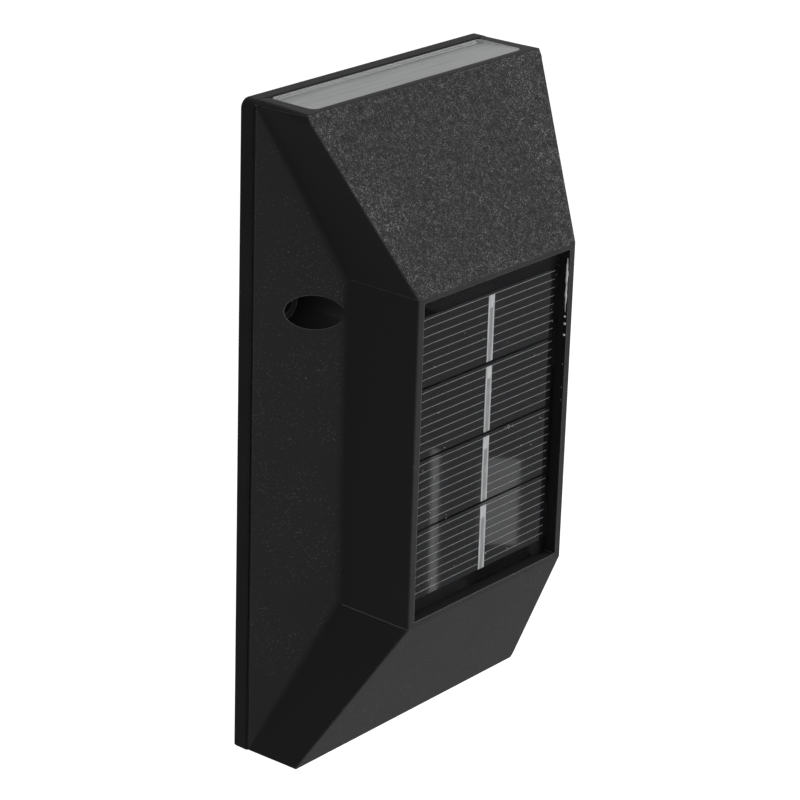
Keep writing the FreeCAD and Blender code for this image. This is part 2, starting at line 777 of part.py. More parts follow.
def make_rear_gasket():
    gasket = new_part("rear_gasket")
    sketch = facing(gasket, "Sizes.plate_thickness - Sizes.seal_height")
    seal_outline(sketch, "Sizes.seal_inset")
    seal_outline(sketch, "(Sizes.seal_inset + Sizes.seal_width)")
    pad(gasket, sketch, "Sizes.seal_height")


def cross_recess(body, places, depth):
    """Cross slots in screw heads that face the wall."""
    for half_width, half_length in (("Sizes.cross_width / 2", "Sizes.cross_length / 2"),
                                    ("Sizes.cross_length / 2", "Sizes.cross_width / 2")):
        sketch = facing(body, depth)
        for across, along in places:
            centred_box(sketch, across, along, half_width, half_length)
        pocket(body, sketch, "Sizes.cross_depth", forwards=True)


def make_cover_screws():
    """Pan-head self-tapping screws, heads sunk in the back of the plate."""
    screws = new_part("cover_screws")
    places = [(f"{side} * Sizes.boss_spread", f"{end} * {boss_rise}")
              for side in both for end in both]
    head_face = "(Sizes.head_sink + Sizes.head_height)"
    sketch = facing(screws, "Sizes.head_sink")
    for across, along in places:
        ring(sketch, across, along, "Sizes.head_radius")
    pad(screws, sketch, "Sizes.head_height")
    crown = value("Sizes.head_sink")
    round_edges(screws, "Sizes.head_round", lambda edge: edge.BoundBox.YMin > -crown - tolerance)
    sketch = facing(screws, head_face)
    for across, along in places:
        ring(sketch, across, along, "Sizes.screw_radius")
    pad(screws, sketch, "Sizes.screw_length")
    cross_recess(screws, places, "Sizes.head_sink")


# ---------------------------------------------------------------- lens windows and lamps
def make_lens(name, end):
    """Window of one end: a plate with a tab at each side and flutes on its inner face."""
    lens = new_part(name)
    half = "(Sizes.lens_width / 2 - Sizes.lens_gap)"
    front = f"({lens_front} - Sizes.lens_gap)"
    inner = f"({lens_outer} - Sizes.lens_height)"
    sketch = level(lens, f"{end} * {lens_outer}")
    rounded_box(sketch, f"-{half}", f"-{front}", half, "-Sizes.plate_thickness",
                "Sizes.lens_radius")
    pad(lens, sketch, "Sizes.lens_height", backwards=end > 0)
    sketch = level(lens, f"{end} * {inner}")
    box(sketch, f"-({half} + Sizes.lens_tab)", f"-({front} - Sizes.lens_tab_inset)",
        f"({half} + Sizes.lens_tab)", "-(Sizes.plate_thickness + Sizes.lens_tab_inset)")
    pad(lens, sketch, f"{core_end} - {inner}", backwards=end < 0)
    cut_flutes(lens, end, inner, half)
    line = "(Sizes.plate_thickness + Sizes.lens_line_inset)"
    sketch = level(lens, f"{end} * {lens_outer}")
    box(sketch, f"-({half} - Sizes.lens_radius)", f"-({line} + Sizes.lens_line_width)",
        f"({half} - Sizes.lens_radius)", f"-{line}")
    pocket(lens, sketch, "Sizes.lens_line_width", forwards=end < 0)


def cut_flutes(lens, end, inner, half):
    """Grooves of triangular section along the inner face."""
    sketch = upright(lens, "0")
    for index in range(flute_count):
        middle = (f"(Sizes.plate_thickness + Sizes.lens_reach / 2"
                  f" + ({index - (flute_count - 1) / 2}) * Sizes.flute_pitch)")
        draw(sketch, [(f"-({middle} - Sizes.flute_width / 2)", f"{end} * {inner}"),
                      (f"-{middle}", f"{end} * ({inner} + Sizes.flute_depth)"),
                      (f"-({middle} + Sizes.flute_width / 2)", f"{end} * {inner}")])
    pocket(lens, sketch, f"2 * ({half} - Sizes.flute_inset)", symmetric=True)


def make_lamp_board(name, end):
    board = new_part(name)
    half = f"({side_wall(lamp_back, 'Sizes.wall')} - Sizes.lamp_board_gap)"
    sketch = level(board, f"{end} * {lamp_back}")
    box(sketch, f"-{half}", "-(Sizes.plate_thickness + Sizes.lamp_board_depth)",
        half, "-(Sizes.plate_thickness + Sizes.lamp_board_gap)")
    pad(board, sketch, "Sizes.lamp_board_thickness", backwards=end < 0)


def make_lamps(name, end):
    """A row of surface-mounted lamps, each with a dished face."""
    lamps = new_part(name)
    depth = "(Sizes.plate_thickness + Sizes.lamp_board_gap / 2 + Sizes.lamp_board_depth / 2)"
    places = [f"({index - (lamp_count - 1) / 2} * Sizes.lamp_pitch)"
              for index in range(lamp_count)]
    sketch = level(lamps, f"{end} * {lamp_face}")
    for across in places:
        centred_box(sketch, across, f"-{depth}", "Sizes.lamp_width / 2", "Sizes.lamp_depth / 2")
    pad(lamps, sketch, "Sizes.lamp_height", backwards=end < 0)
    sketch = level(lamps, f"{end} * ({lamp_face} + Sizes.lamp_height)")
    for across in places:
        ring(sketch, across, f"-{depth}", "Sizes.lamp_dish_radius")
    pocket(lamps, sketch, "Sizes.lamp_dish_depth", forwards=end < 0)


# ---------------------------------------------------------------- solar panel
def panel_outline(sketch):
    centred_box(sketch, "0", "0", f"({recess_half_width} - Sizes.panel_gap)",
                f"({recess_half_height} - Sizes.panel_gap)")


half_cell = "((Sizes.cell_pitch - Sizes.cell_gap) / 2)"


def cell_level(index):
    return f"({(cell_count - 1) / 2 - index} * Sizes.cell_pitch - Sizes.cell_drop)"


def draw_cells(sketch):
    for index in range(cell_count):
        centred_box(sketch, "Sizes.cell_offset", cell_level(index), "Sizes.cell_width / 2",
                    half_cell)


def draw_ribbons(sketch):
    """Each ribbon runs from near a cell's upper edge over its lower one."""
    for index in range(cell_count):
        middle = cell_level(index)
        box(sketch, "Sizes.ribbon_offset - Sizes.ribbon_width / 2",
            f"{middle} - {half_cell} + Sizes.ribbon_bottom_inset",
            "Sizes.ribbon_offset + Sizes.ribbon_width / 2",
            f"{middle} + {half_cell} - Sizes.ribbon_top_inset")


def make_solar_panel():
    tape = new_part("panel_tape")
    sketch = facing(tape, recess_floor)
    panel_outline(sketch)
    centred_box(sketch, "0", "0", f"({recess_half_width} - Sizes.panel_gap - Sizes.tape_width)",
                f"({recess_half_height} - Sizes.panel_gap - Sizes.tape_width)")
    pad(tape, sketch, "Sizes.tape_thickness")
    board = new_part("panel_board")
    sketch = facing(board, panel_back)
    panel_outline(sketch)
    pad(board, sketch, "Sizes.panel_board_thickness")
    cells = new_part("solar_cells")
    sketch = facing(cells, panel_face)
    draw_cells(sketch)
    pad(cells, sketch, "Sizes.cell_thickness")
    ribbons = new_part("busbar_ribbons")
    sketch = facing(ribbons, f"{panel_face} + Sizes.cell_thickness")
    draw_ribbons(sketch)
    pad(ribbons, sketch, "Sizes.ribbon_thickness")
    resin = new_part("panel_resin")
    sketch = facing(resin, panel_face)
    panel_outline(sketch)
    pad(resin, sketch, "Sizes.resin_height")
    sketch = facing(resin, panel_face)
    draw_cells(sketch)
    pocket(resin, sketch, "Sizes.cell_thickness", forwards=True)
    sketch = facing(resin, panel_face)
    draw_ribbons(sketch)
    pocket(resin, sketch, "Sizes.cell_thickness + Sizes.ribbon_thickness", forwards=True)


# ---------------------------------------------------------------- rechargeable cell and holder
def standing(body, bottom):
    """Level sketch whose origin lies on the cell's axis."""
    sketch = level(body, bottom)
    sketch.setExpression("AttachmentOffset.Base.x", "-Sizes.holder_offset")
    sketch.setExpression("AttachmentOffset.Base.y", f"-{battery_depth}")
    return sketch


def make_battery():
    can_top = f"({battery_top} - Sizes.cap_height)"
    can = new_part("battery_cell")
    sketch = standing(can, battery_bottom)
    ring(sketch, "0", "0", "Sizes.battery_radius")
    pad(can, sketch, f"{can_top} - {battery_bottom}")
    cap = new_part("battery_cap")
    sketch = standing(cap, can_top)
    ring(sketch, "0", "0", "Sizes.cap_radius")
    pad(cap, sketch, "Sizes.cap_height")
    crown = value(battery_top)
    round_edges(cap, "Sizes.cap_round", lambda edge: edge.BoundBox.ZMin > crown - tolerance)
    sleeve = new_part("battery_sleeve")
    lip_top = f"({can_top} + Sizes.sleeve_thickness)"
    sketch = standing(sleeve, battery_bottom)
    ring(sketch, "0", "0", battery_outside)
    pad(sleeve, sketch, f"{lip_top} - {battery_bottom}")
    sketch = standing(sleeve, battery_bottom)
    ring(sketch, "0", "0", "Sizes.battery_radius")
    pocket(sleeve, sketch, f"{can_top} - {battery_bottom}", forwards=True)
    sketch = standing(sleeve, lip_top)
    ring(sketch, "0", "0", "(Sizes.battery_radius - Sizes.sleeve_lip)")
    pocket(sleeve, sketch, "Sizes.sleeve_thickness")


def make_holder():
    """Open tray for one cell, with a gap in each side wall for finger and thumb."""
    holder = new_part("battery_holder")
    outer_width = f"({holder_half_width} + Sizes.holder_wall)"
    outer_length = f"({holder_half_length} + Sizes.holder_wall)"
    sketch = facing(holder, holder_back)
    centred_box(sketch, "-Sizes.holder_offset", "0", outer_width, outer_length)
    pad(holder, sketch, "Sizes.holder_floor + Sizes.holder_side")
    sketch = facing(holder, f"{holder_inside} + Sizes.holder_side")
    centred_box(sketch, "-Sizes.holder_offset", "0", holder_half_width, holder_half_length)
    pocket(holder, sketch, "Sizes.holder_side")
    sketch = upright(holder, "-Sizes.holder_offset")
    top = f"({holder_inside} + Sizes.holder_side)"
    draw(sketch, [(f"-{top}", "-Sizes.finger_gap_top / 2"), (f"-{top}", "Sizes.finger_gap_top / 2"),
                  (f"-({holder_inside} + Sizes.finger_gap_rise)", "Sizes.finger_gap_bottom / 2"),
                  (f"-({holder_inside} + Sizes.finger_gap_rise)", "-Sizes.finger_gap_bottom / 2")])
    pocket(holder, sketch, f"2 * ({outer_width} + Sizes.cut_margin)", symmetric=True)
    sketch = facing(holder, holder_inside)
    for end in both:
        ring(sketch, "-Sizes.holder_offset", f"{end} * Sizes.holder_screw_spread",
             "(Sizes.small_screw_radius + Sizes.screw_gap)")
    pocket(holder, sketch, "Sizes.holder_floor")
    for end in both:
        sketch = facing(holder, holder_inside)
        ring(sketch, "-Sizes.holder_offset", f"{end} * Sizes.holder_screw_spread",
             "(Sizes.small_head_radius + Sizes.screw_gap)")
        pocket(holder, sketch, "Sizes.head_seat")


def make_holder_screws():
    screws = new_part("holder_screws")
    places = [("-Sizes.holder_offset", f"{end} * Sizes.holder_screw_spread") for end in both]
    seat = f"({holder_inside} - Sizes.head_seat)"
    sketch = facing(screws, seat)
    for across, along in places:
        ring(sketch, across, along, "Sizes.small_head_radius")
    pad(screws, sketch, "Sizes.head_seat")
    sketch = facing(screws, seat)
    for across, along in places:
        ring(sketch, across, along, "Sizes.small_screw_radius")
    pad(screws, sketch, "Sizes.small_screw_length - Sizes.head_seat", backwards=True)


def make_battery_contact():
    """Positive leaf: a flat plate on the end wall with a soldering tab beside the tray."""
    contact = new_part("battery_contact")
    top_depth = f"({battery_depth} + Sizes.contact_width / 2)"
    sketch = facing(contact, f"{battery_depth} - Sizes.contact_width / 2")
    box(sketch, "-Sizes.holder_offset - Sizes.contact_width / 2", battery_top,
        "-Sizes.holder_offset + Sizes.contact_width / 2",
        f"{battery_top} + Sizes.contact_thickness")
    pad(contact, sketch, "Sizes.contact_width")
    add_solder_tab(contact, top_depth, 1)


def add_solder_tab(body, depth, end):
    """Narrow strip that leads from the contact over the end wall of the holder."""
    low = f"({holder_half_length} - Sizes.contact_thickness)"
    root = f"({depth} - Sizes.tab_lap)"
    wall_top = f"({holder_inside} + Sizes.holder_side)"
    bend = f"({wall_top} + Sizes.contact_thickness)"
    tip = f"({wall_top} - Sizes.tab_drop)"
    outside = f"({holder_half_length} + Sizes.holder_wall)"
    outer = f"({outside} + Sizes.contact_thickness)"
    route = [(root, low), (bend, low), (bend, outer), (tip, outer), (tip, outside),
             (wall_top, outside), (wall_top, holder_half_length), (root, holder_half_length)]
    sketch = upright(body, "-Sizes.holder_offset")
    draw(sketch, [(f"-{across}", f"{end} * {along}") for across, along in route])
    pad(body, sketch, "Sizes.tab_width", symmetric=True)


def spring_path():
    """Conical coil of half-turn arcs, closing up towards the cell."""
    base = value(f"-{holder_half_length} + Sizes.contact_thickness + Sizes.spring_wire / 2")
    rise = value("Sizes.spring_length - Sizes.spring_wire / 2 - Sizes.spring_wire")
    wide = value("Sizes.spring_base")
    narrow = value("Sizes.spring_top")
    quarter_turns = 4 * spring_turns

    def place(step):
        share = step / quarter_turns
        radius = wide + (narrow - wide) * share
        angle = step * math.pi / 2
        return FreeCAD.Vector(radius * math.cos(angle), radius * math.sin(angle),
                              base + rise * share)

    arcs = [Part.Arc(place(step), place(step + 1), place(step + 2)).toShape()
            for step in range(0, quarter_turns, 2)]
    return Part.Wire(arcs)


def make_battery_spring():
    """Negative contact: a flat plate on the end wall that carries the coil."""
    plate = new_body("spring_plate")
    sketch = facing(plate, f"{battery_depth} - Sizes.contact_width / 2")
    box(sketch, "-Sizes.holder_offset - Sizes.contact_width / 2", f"-{holder_half_length}",
        "-Sizes.holder_offset + Sizes.contact_width / 2",
        f"-{holder_half_length} + Sizes.contact_thickness")
    pad(plate, sketch, "Sizes.contact_width")
    add_solder_tab(plate, f"({battery_depth} + Sizes.contact_width / 2)", -1)
    path = spring_path()
    begin = path.Edges[0].valueAt(path.Edges[0].FirstParameter)
    along = path.Edges[0].tangentAt(path.Edges[0].FirstParameter)
    section = Part.Wire(Part.makeCircle(value("Sizes.spring_wire"), begin, along))
    coil = path.makePipeShell([section], True, False)
    coil.translate(FreeCAD.Vector(-value("Sizes.holder_offset"), -value(battery_depth), 0))
    spring = doc.addObject("Part::Feature", "battery_spring")
    spring.Label = "battery_spring"
    spring.Shape = plate.Shape.fuse(coil)
    spring.Placement = FreeCAD.Placement()
    nodes.append(spring)


# ---------------------------------------------------------------- main board and its components
def make_main_board():
    board = new_part("main_board")
    sketch = facing(board, board_back)
    centred_box(sketch, "Sizes.board_offset", "0", "Sizes.board_width / 2",
                "Sizes.board_length / 2")
    pad(board, sketch, "Sizes.board_thickness")
    sketch = facing(board, board_front)
    for end in both:
        ring(sketch, "Sizes.board_offset", f"{end} * {board_screw_rise}",
             "(Sizes.small_screw_radius + Sizes.screw_gap)")
    for index in pin_places:
        ring(sketch, "Sizes.board_offset",
             f"(-Sizes.switch_drop + {index} * Sizes.switch_pin_pitch)",
             "Sizes.pin_hole_radius")
    pocket(board, sketch, "Sizes.board_thickness")


def make_board_screws():
    screws = new_part("board_screws")
    places = [("Sizes.board_offset", f"{end} * {board_screw_rise}") for end in both]
    sketch = facing(screws, board_front)
    for across, along in places:
        ring(sketch, across, along, "Sizes.small_head_radius")
    pad(screws, sketch, "Sizes.small_head_height")
    crown = value(f"{board_front} + Sizes.small_head_height")
    round_edges(screws, "Sizes.small_head_round",
                lambda edge: edge.BoundBox.YMax < tolerance - crown)
    sketch = facing(screws, board_front)
    for across, along in places:
        ring(sketch, across, along, "Sizes.small_screw_radius")
    pad(screws, sketch, "Sizes.small_screw_length", backwards=True)


def make_driver_chip():
    """Small-outline chip with leads down both long sides."""
    chip = new_part("driver_chip")
    sketch = facing(chip, f"{board_front} + Sizes.chip_stand")
    centred_box(sketch, "Sizes.board_offset", "0", "Sizes.chip_width / 2",
                "Sizes.chip_length / 2")
    pad(chip, sketch, "Sizes.chip_height")
    sketch = facing(chip, board_front)
    for index in range(chip_lead_count):
        along = f"({index - (chip_lead_count - 1) / 2} * Sizes.chip_lead_pitch)"
        centred_box(sketch, "Sizes.board_offset", along,
                    "(Sizes.chip_width / 2 + Sizes.chip_lead_reach)", "Sizes.chip_lead_width / 2")
    pad(chip, sketch, "Sizes.chip_lead_height")


def make_inductor():
    """Drum core: two flanges with the winding between them."""
    coil = new_part("inductor")
    sketch = level(coil, "Sizes.part_rise")
    sketch.setExpression("AttachmentOffset.Base.x", "Sizes.board_offset - Sizes.part_spread")
    front = f"({board_front} + Sizes.coil_height)"
    draw(sketch, [
        ("0", f"-{board_front}"), ("Sizes.coil_radius", f"-{board_front}"),
        ("Sizes.coil_radius", f"-({board_front} + Sizes.coil_flange)"),
        ("Sizes.coil_waist", f"-({board_front} + Sizes.coil_flange)"),
        ("Sizes.coil_waist", f"-({front} - Sizes.coil_flange)"),
        ("Sizes.coil_radius", f"-({front} - Sizes.coil_flange)"),
        ("Sizes.coil_radius", f"-{front}"), ("0", f"-{front}"),
    ])
    turn(coil, sketch)


def make_capacitor():
    """Aluminium can with the rolled groove near its base."""
    can = new_part("capacitor")
    sketch = level(can, "Sizes.part_rise")
    sketch.setExpression("AttachmentOffset.Base.x", "Sizes.board_offset + Sizes.part_spread")
    front = f"({board_front} + Sizes.can_height)"
    groove = f"({board_front} + Sizes.can_groove_rise)"
    draw(sketch, [
        ("0", f"-{board_front}"), ("Sizes.can_radius", f"-{board_front}"),
        ("Sizes.can_radius", f"-({groove} - Sizes.can_groove)"),
        ("Sizes.can_radius - Sizes.can_groove", f"-{groove}"),
        ("Sizes.can_radius", f"-({groove} + Sizes.can_groove)"),
        ("Sizes.can_radius", f"-({front} - Sizes.can_groove)"),
        ("Sizes.can_radius - Sizes.can_groove", f"-{front}"), ("0", f"-{front}"),
    ])
    turn(can, sketch)


# ---------------------------------------------------------------- slide switch
def make_switch():
    """Switch base with the knob's chamber, its window towards the wall, and three pins."""
    body = new_part("switch_body")
    across = "Sizes.board_offset"
    along = "-Sizes.switch_drop"
    window_half_width = "(Sizes.knob_width / 2 + Sizes.knob_gap)"
    window_half_length = "((Sizes.knob_length + Sizes.switch_travel) / 2 + Sizes.knob_gap)"
    chamber_half_width = f"({window_half_width} + Sizes.knob_foot)"
    chamber_half_length = f"({window_half_length} + Sizes.knob_foot)"
    sketch = facing(body, switch_face)
    centred_box(sketch, across, along, "Sizes.switch_width / 2", "Sizes.switch_length / 2")
    pad(body, sketch, "Sizes.switch_height")
    sketch = facing(body, switch_face)
    centred_box(sketch, across, along, window_half_width, window_half_length)
    pocket(body, sketch, "Sizes.switch_skin + Sizes.knob_gap", forwards=True)
    cut_chamber(body, across, along, chamber_half_width, chamber_half_length)
    sketch = facing(body, board_back)
    for index in pin_places:
        centred_box(sketch, across, f"({along} + {index} * Sizes.switch_pin_pitch)",
                    "Sizes.switch_pin_width / 2", "Sizes.switch_pin_width / 2")
    pad(body, sketch, "Sizes.switch_pin_length")
    make_knob(across, f"({along} - Sizes.switch_travel / 2)")


def cut_chamber(body, across, along, half_width, half_length):
    """The chamber is a separate tool, because it is wider than the window it opens to."""
    tool = new_body("switch_chamber")
    sketch = facing(tool, f"{switch_face} + Sizes.switch_skin")
    centred_box(sketch, across, along, half_width, half_length)
    pad(tool, sketch, "Sizes.knob_foot_height + 2 * Sizes.knob_gap")
    cut_with(body, tool)


def make_knob(across, along):
    """Sliding knob at its lower stop: a foot in the chamber and a stem out through the plate."""
    knob = new_part("switch_knob")
    foot_back = f"({switch_face} + Sizes.switch_skin + Sizes.knob_gap)"
    sketch = facing(knob, foot_back)
    centred_box(sketch, across, along, "(Sizes.knob_width / 2 + Sizes.knob_foot)",
                "(Sizes.knob_length / 2 + Sizes.knob_foot)")
    pad(knob, sketch, "Sizes.knob_foot_height")
    sketch = facing(knob, "Sizes.knob_sink")
    centred_box(sketch, across, along, "Sizes.knob_width / 2", "Sizes.knob_length / 2")
    pad(knob, sketch, f"{foot_back} - Sizes.knob_sink")
    tip = value("Sizes.knob_sink")
    round_edges(knob, "Sizes.knob_round", lambda edge: edge.BoundBox.YMin > -tip - tolerance)


# ---------------------------------------------------------------- insulated leads
def lead(points):
    """Tube of straight runs joined by tangent arcs, from corner points of its route."""
    corners = [FreeCAD.Vector(*point) for point in points]
    edges = []
    begin = corners[0]
    for before, corner, after in zip(corners, corners[1:], corners[2:]):
        into = (before - corner).normalize()
        out = (after - corner).normalize()
        bend = math.pi - into.getAngle(out)
        run = min((before - corner).Length, (after - corner).Length)
        trim = bend_share * run
        radius = trim / math.tan(bend / 2)
        middle = (into + out).normalize()
        centre_distance = math.hypot(radius, trim)
        enter = corner + into * trim
        leave = corner + out * trim
        edges.append(Part.LineSegment(begin, enter).toShape())
        crown = corner + middle * (centre_distance - radius)
        edges.append(Part.Arc(enter, crown, leave).toShape())
        begin = leave
    edges.append(Part.LineSegment(begin, corners[-1]).toShape())
    path = Part.Wire(edges)
    section = Part.Wire(Part.makeCircle(value("Sizes.lead_radius"), corners[0],
                                        corners[1] - corners[0]))
    return path.makePipeShell([section], True, False)


def make_leads(name, routes):
    feature = doc.addObject("Part::Feature", name)
    feature.Label = name
    feature.Shape = Part.makeCompound([lead(route) for route in routes])
    feature.Placement = FreeCAD.Placement()
    nodes.append(feature)


def lead_routes():
    """Routes of the leads, each as corner points between two soldered ends."""
    pitch = value("Sizes.lead_pitch")
    bow = value("Sizes.lead_bow")
    solder = -value(board_front)
    lifted = solder - 1.5 * bow
    board = value("Sizes.board_offset")
    board_edge = value("Sizes.board_offset - Sizes.board_width / 2 + Sizes.lead_inset")
    pad_rise = value(f"{board_screw_rise} - Sizes.board_screw_inset")
    cell_pad_rise = pad_rise + value("Sizes.lead_inset")
    solar_pad_rise = value("Sizes.lead_inset") - pad_rise
    hole = -value("Sizes.wire_hole_drop")
    panel = -value(panel_back)
    lamp_depth = -value("(Sizes.plate_thickness + Sizes.lamp_board_depth / 2)")
    lamp_end = value(lamp_back)
    tab_depth = -value(f"({holder_inside} + Sizes.holder_side - Sizes.tab_solder_drop)")
    tab_across = -value("Sizes.holder_offset")
    tab_end = value(f"({holder_half_length} + Sizes.holder_wall + Sizes.contact_thickness)")

    solar = []
    for side in both:
        across = side * pitch / 2
        target = board_edge + pitch + across
        solar.append([(across, panel, hole), (across, panel + 2 * bow, hole),
                      (target, solder - 2 * bow, solar_pad_rise),
                      (target, solder, solar_pad_rise)])
    cell = []
    for end in both:
        cell.append([(tab_across, tab_depth, end * tab_end),
                     (tab_across, tab_depth, end * (tab_end + bow)),
                     (board_edge - bow, tab_depth - bow, end * (tab_end + bow)),
                     (board_edge, lifted, end * cell_pad_rise),
                     (board_edge, solder, end * cell_pad_rise)])
    lamps = []
    for end in both:
        for side in both:
            across = board + 1.5 * bow + side * pitch / 2
            lamps.append([(across, lamp_depth, end * lamp_end),
                          (across, lamp_depth, end * (lamp_end - 2 * bow)),
                          (across, lifted, end * (pad_rise + 2 * bow)),
                          (across, lifted, end * pad_rise),
                          (across, solder, end * pad_rise)])
    return {"solar_leads": solar, "battery_leads": cell, "lamp_leads": lamps}


# ---------------------------------------------------------------- assembly
make_front_housing()
make_back_plate()
make_rear_gasket()
make_cover_screws()
for name, end in zip(("top", "bottom"), both):
    make_lens(f"{name}_lens", end)
    make_lamp_board(f"{name}_lamp_board", end)
    make_lamps(f"{name}_lamps", end)
make_solar_panel()
make_battery()
make_holder()
make_holder_screws()
make_battery_contact()
make_battery_spring()
make_main_board()
make_board_screws()
make_driver_chip()
make_inductor()
make_capacitor()
make_switch()
for name, routes in lead_routes().items():
    make_leads(name, routes)

doc.recompute()
for item in doc.Objects:
    if "Invalid" in item.State or "Error" in item.State:
        raise RuntimeError(f"{item.Label} could not be built")
for node in nodes:
    if node.Shape.isNull() or not node.Shape.isValid():
        raise RuntimeError(f"{node.Label} has no valid shape")
for node in nodes:
    node.Shape.exportStep(os.path.join("parts", f"{node.Label}.step"))
    print(node.Label, len(node.Shape.Solids), "solids", round(node.Shape.Volume, 1), "mm3")
print(len(nodes), "parts written")
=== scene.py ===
# Solar fence light: finishes, fine pieces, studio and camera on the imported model.
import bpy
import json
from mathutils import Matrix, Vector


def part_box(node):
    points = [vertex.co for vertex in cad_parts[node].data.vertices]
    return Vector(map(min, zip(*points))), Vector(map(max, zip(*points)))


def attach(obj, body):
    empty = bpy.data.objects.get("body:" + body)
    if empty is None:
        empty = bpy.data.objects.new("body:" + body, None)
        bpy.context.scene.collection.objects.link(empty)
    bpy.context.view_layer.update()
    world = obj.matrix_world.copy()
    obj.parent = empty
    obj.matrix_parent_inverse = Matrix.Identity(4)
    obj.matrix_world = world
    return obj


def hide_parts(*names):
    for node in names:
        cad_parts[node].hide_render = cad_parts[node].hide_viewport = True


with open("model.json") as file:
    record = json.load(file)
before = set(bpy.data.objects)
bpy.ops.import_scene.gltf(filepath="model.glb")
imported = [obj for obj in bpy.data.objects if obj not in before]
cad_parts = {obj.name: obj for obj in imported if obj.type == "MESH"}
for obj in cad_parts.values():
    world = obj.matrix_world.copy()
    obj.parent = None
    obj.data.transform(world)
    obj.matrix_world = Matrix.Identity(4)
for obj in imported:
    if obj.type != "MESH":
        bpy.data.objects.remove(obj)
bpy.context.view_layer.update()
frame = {"nodes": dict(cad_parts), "record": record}

import json
import math
import random

import bmesh
import bpy
from mathutils import Matrix, Vector

mm = 0.001
print("stage: frame loaded,", len(frame["nodes"]), "nodes")


class Value:
    # a socket that can be used in plain sums
    def __init__(self, graph, socket):
        self.graph = graph
        self.socket = socket

    def math(self, operation, *terms):
        return self.graph.node("Math", {"operation": operation}, dict(enumerate(terms)))

    def __add__(self, other):
        return self.math("ADD", self, other)

    def __sub__(self, other):
        return self.math("SUBTRACT", self, other)

    def __rsub__(self, other):
        return self.math("SUBTRACT", other, self)

    def __mul__(self, other):
        return self.math("MULTIPLY", self, other)

    def __truediv__(self, other):
        return self.math("DIVIDE", self, other)

    __radd__ = __add__
    __rmul__ = __mul__

    def size(self):
        return self.math("ABSOLUTE", self)

    def least(self, other):
        return self.math("MINIMUM", self, other)

    def most(self, other):
        return self.math("MAXIMUM", self, other)

    def fraction(self):
        return self.math("FRACT", self)

    def wave(self):
        return self.math("SINE", self)

    def ramp(self, low, high):
        # 0 at low, 1 at high, clipped outside
        return self.graph.node("MapRange", {"clamp": True},
                               {"Value": self, "From Min": low, "From Max": high})


class Graph:
    # one node tree; node() adds any node and hands back one of its outputs
    def __init__(self, tree):
        self.tree = tree
        self.tree.nodes.clear()

    def pick(self, sockets, name):
        if isinstance(name, int):
            return sockets[name]
        return next(socket for socket in sockets if socket.name == name and socket.enabled)

    def node(self, kind, settings=None, sockets=None, output=None):
        made = self.tree.nodes.new("ShaderNode" + kind)
        for name, value in (settings or {}).items():
            setattr(made, name, value)
        for name, value in (sockets or {}).items():
            self.feed(self.pick(made.inputs, name), value)
        if output is None:
            shown = [socket for socket in made.outputs if socket.enabled]
            return Value(self, shown[0]) if shown else made
        return Value(self, self.pick(made.outputs, output))

    def feed(self, socket, value):
        if isinstance(value, Value):
            self.tree.links.new(value.socket, socket)
        elif isinstance(value, tuple) and socket.type == "RGBA":
            socket.default_value = (*value[:3], 1)
        else:
            socket.default_value = value

    def place(self):
        return self.node("TexCoord", output="Object")

    def facing(self):
        return self.node("TexCoord", output="Normal")

    def axis(self, vector, name):
        return self.node("SeparateXYZ", sockets={"Vector": vector}, output=name)

    def stretch(self, vector, factors):
        return self.node("VectorMath", {"operation": "MULTIPLY"}, {0: vector, 1: factors})

    def noise(self, vector, size, detail=2.0, rough=0.5):
        # size is the feature size in millimetres
        return self.node("TexNoise", sockets={"Vector": vector, "Scale": 1 / (size * mm),
                                              "Detail": detail, "Roughness": rough},
                         output="Fac")

    def grains(self, vector, size):
        # separate grains of the size in millimetres, each with its own level from 0 to 1
        cells = self.node("TexVoronoi", {"feature": "F1"},
                          {"Vector": vector, "Scale": 1 / (size * mm)}, output="Color")
        return self.node("SeparateColor", sockets={"Color": cells}, output="Red")

    def mix(self, factor, first, second):
        return self.node("Mix", {"data_type": "RGBA"},
                         {"Factor": factor, "A": first, "B": second})

    def bump(self, height, depth, strength=1.0, normal=None):
        # depth is the relief in millimetres
        sockets = {"Height": height, "Distance": depth * mm, "Strength": strength}
        if normal is not None:
            sockets["Normal"] = normal
        return self.node("Bump", sockets=sockets)

    def close(self, shader):
        self.node("OutputMaterial", sockets={"Surface": shader})


def newMaterial(name):
    material = bpy.data.materials.new(name)
    material.use_nodes = True
    return material, Graph(material.node_tree)


def edgeMask(graph, radius, low=0.01, high=0.12):
    # 1 on edges narrower than the radius in millimetres, 0 on flats
    rounded = graph.node("Bevel", {"samples": 6}, {"Radius": radius * mm})
    plain = graph.node("NewGeometry", output="Normal")
    along = graph.node("VectorMath", {"operation": "DOT_PRODUCT"}, {0: rounded, 1: plain},
                       output="Value")
    return rounded, (1 - along).ramp(low, high)


housingLook = {
    "colour": (0.0158, 0.0158, 0.016),      # steep sides, which the mould left smooth; darker than the forward faces as painted shade
    "open": (0.036, 0.036, 0.0363),         # faces that look forward, paler as painted light
    "between": (0.022, 0.022, 0.0223),      # base colour under the grain
    # the pale colour is painted sparkle on the grain tops, the speck colour is partly a painted
    # glint, and the worn colour is partly a painted edge highlight
    "pale": (0.3, 0.3, 0.302), "speckAndGlint": (0.11, 0.11, 0.111), "worn": (0.15, 0.15, 0.151),
    "grain": 0.2, "speckSize": 0.19, "patch": 1.3, "broad": 14,
    "texture": 0.8, "textureFrom": 1.02, "textureFull": 1.12, "speckFrom": 0.955,
    "frontHalfWidth": 26.8, "frontHalfHeight": 37.5, "scuffBand": 6.0, "scuffPast": 2.0,
    "relief": 0.02, "roughLow": 0.4, "roughHigh": 0.62, "specular": 0.02,
    "edge": 0.35, "edgeLow": 0.055, "edgeHigh": 0.1,
}


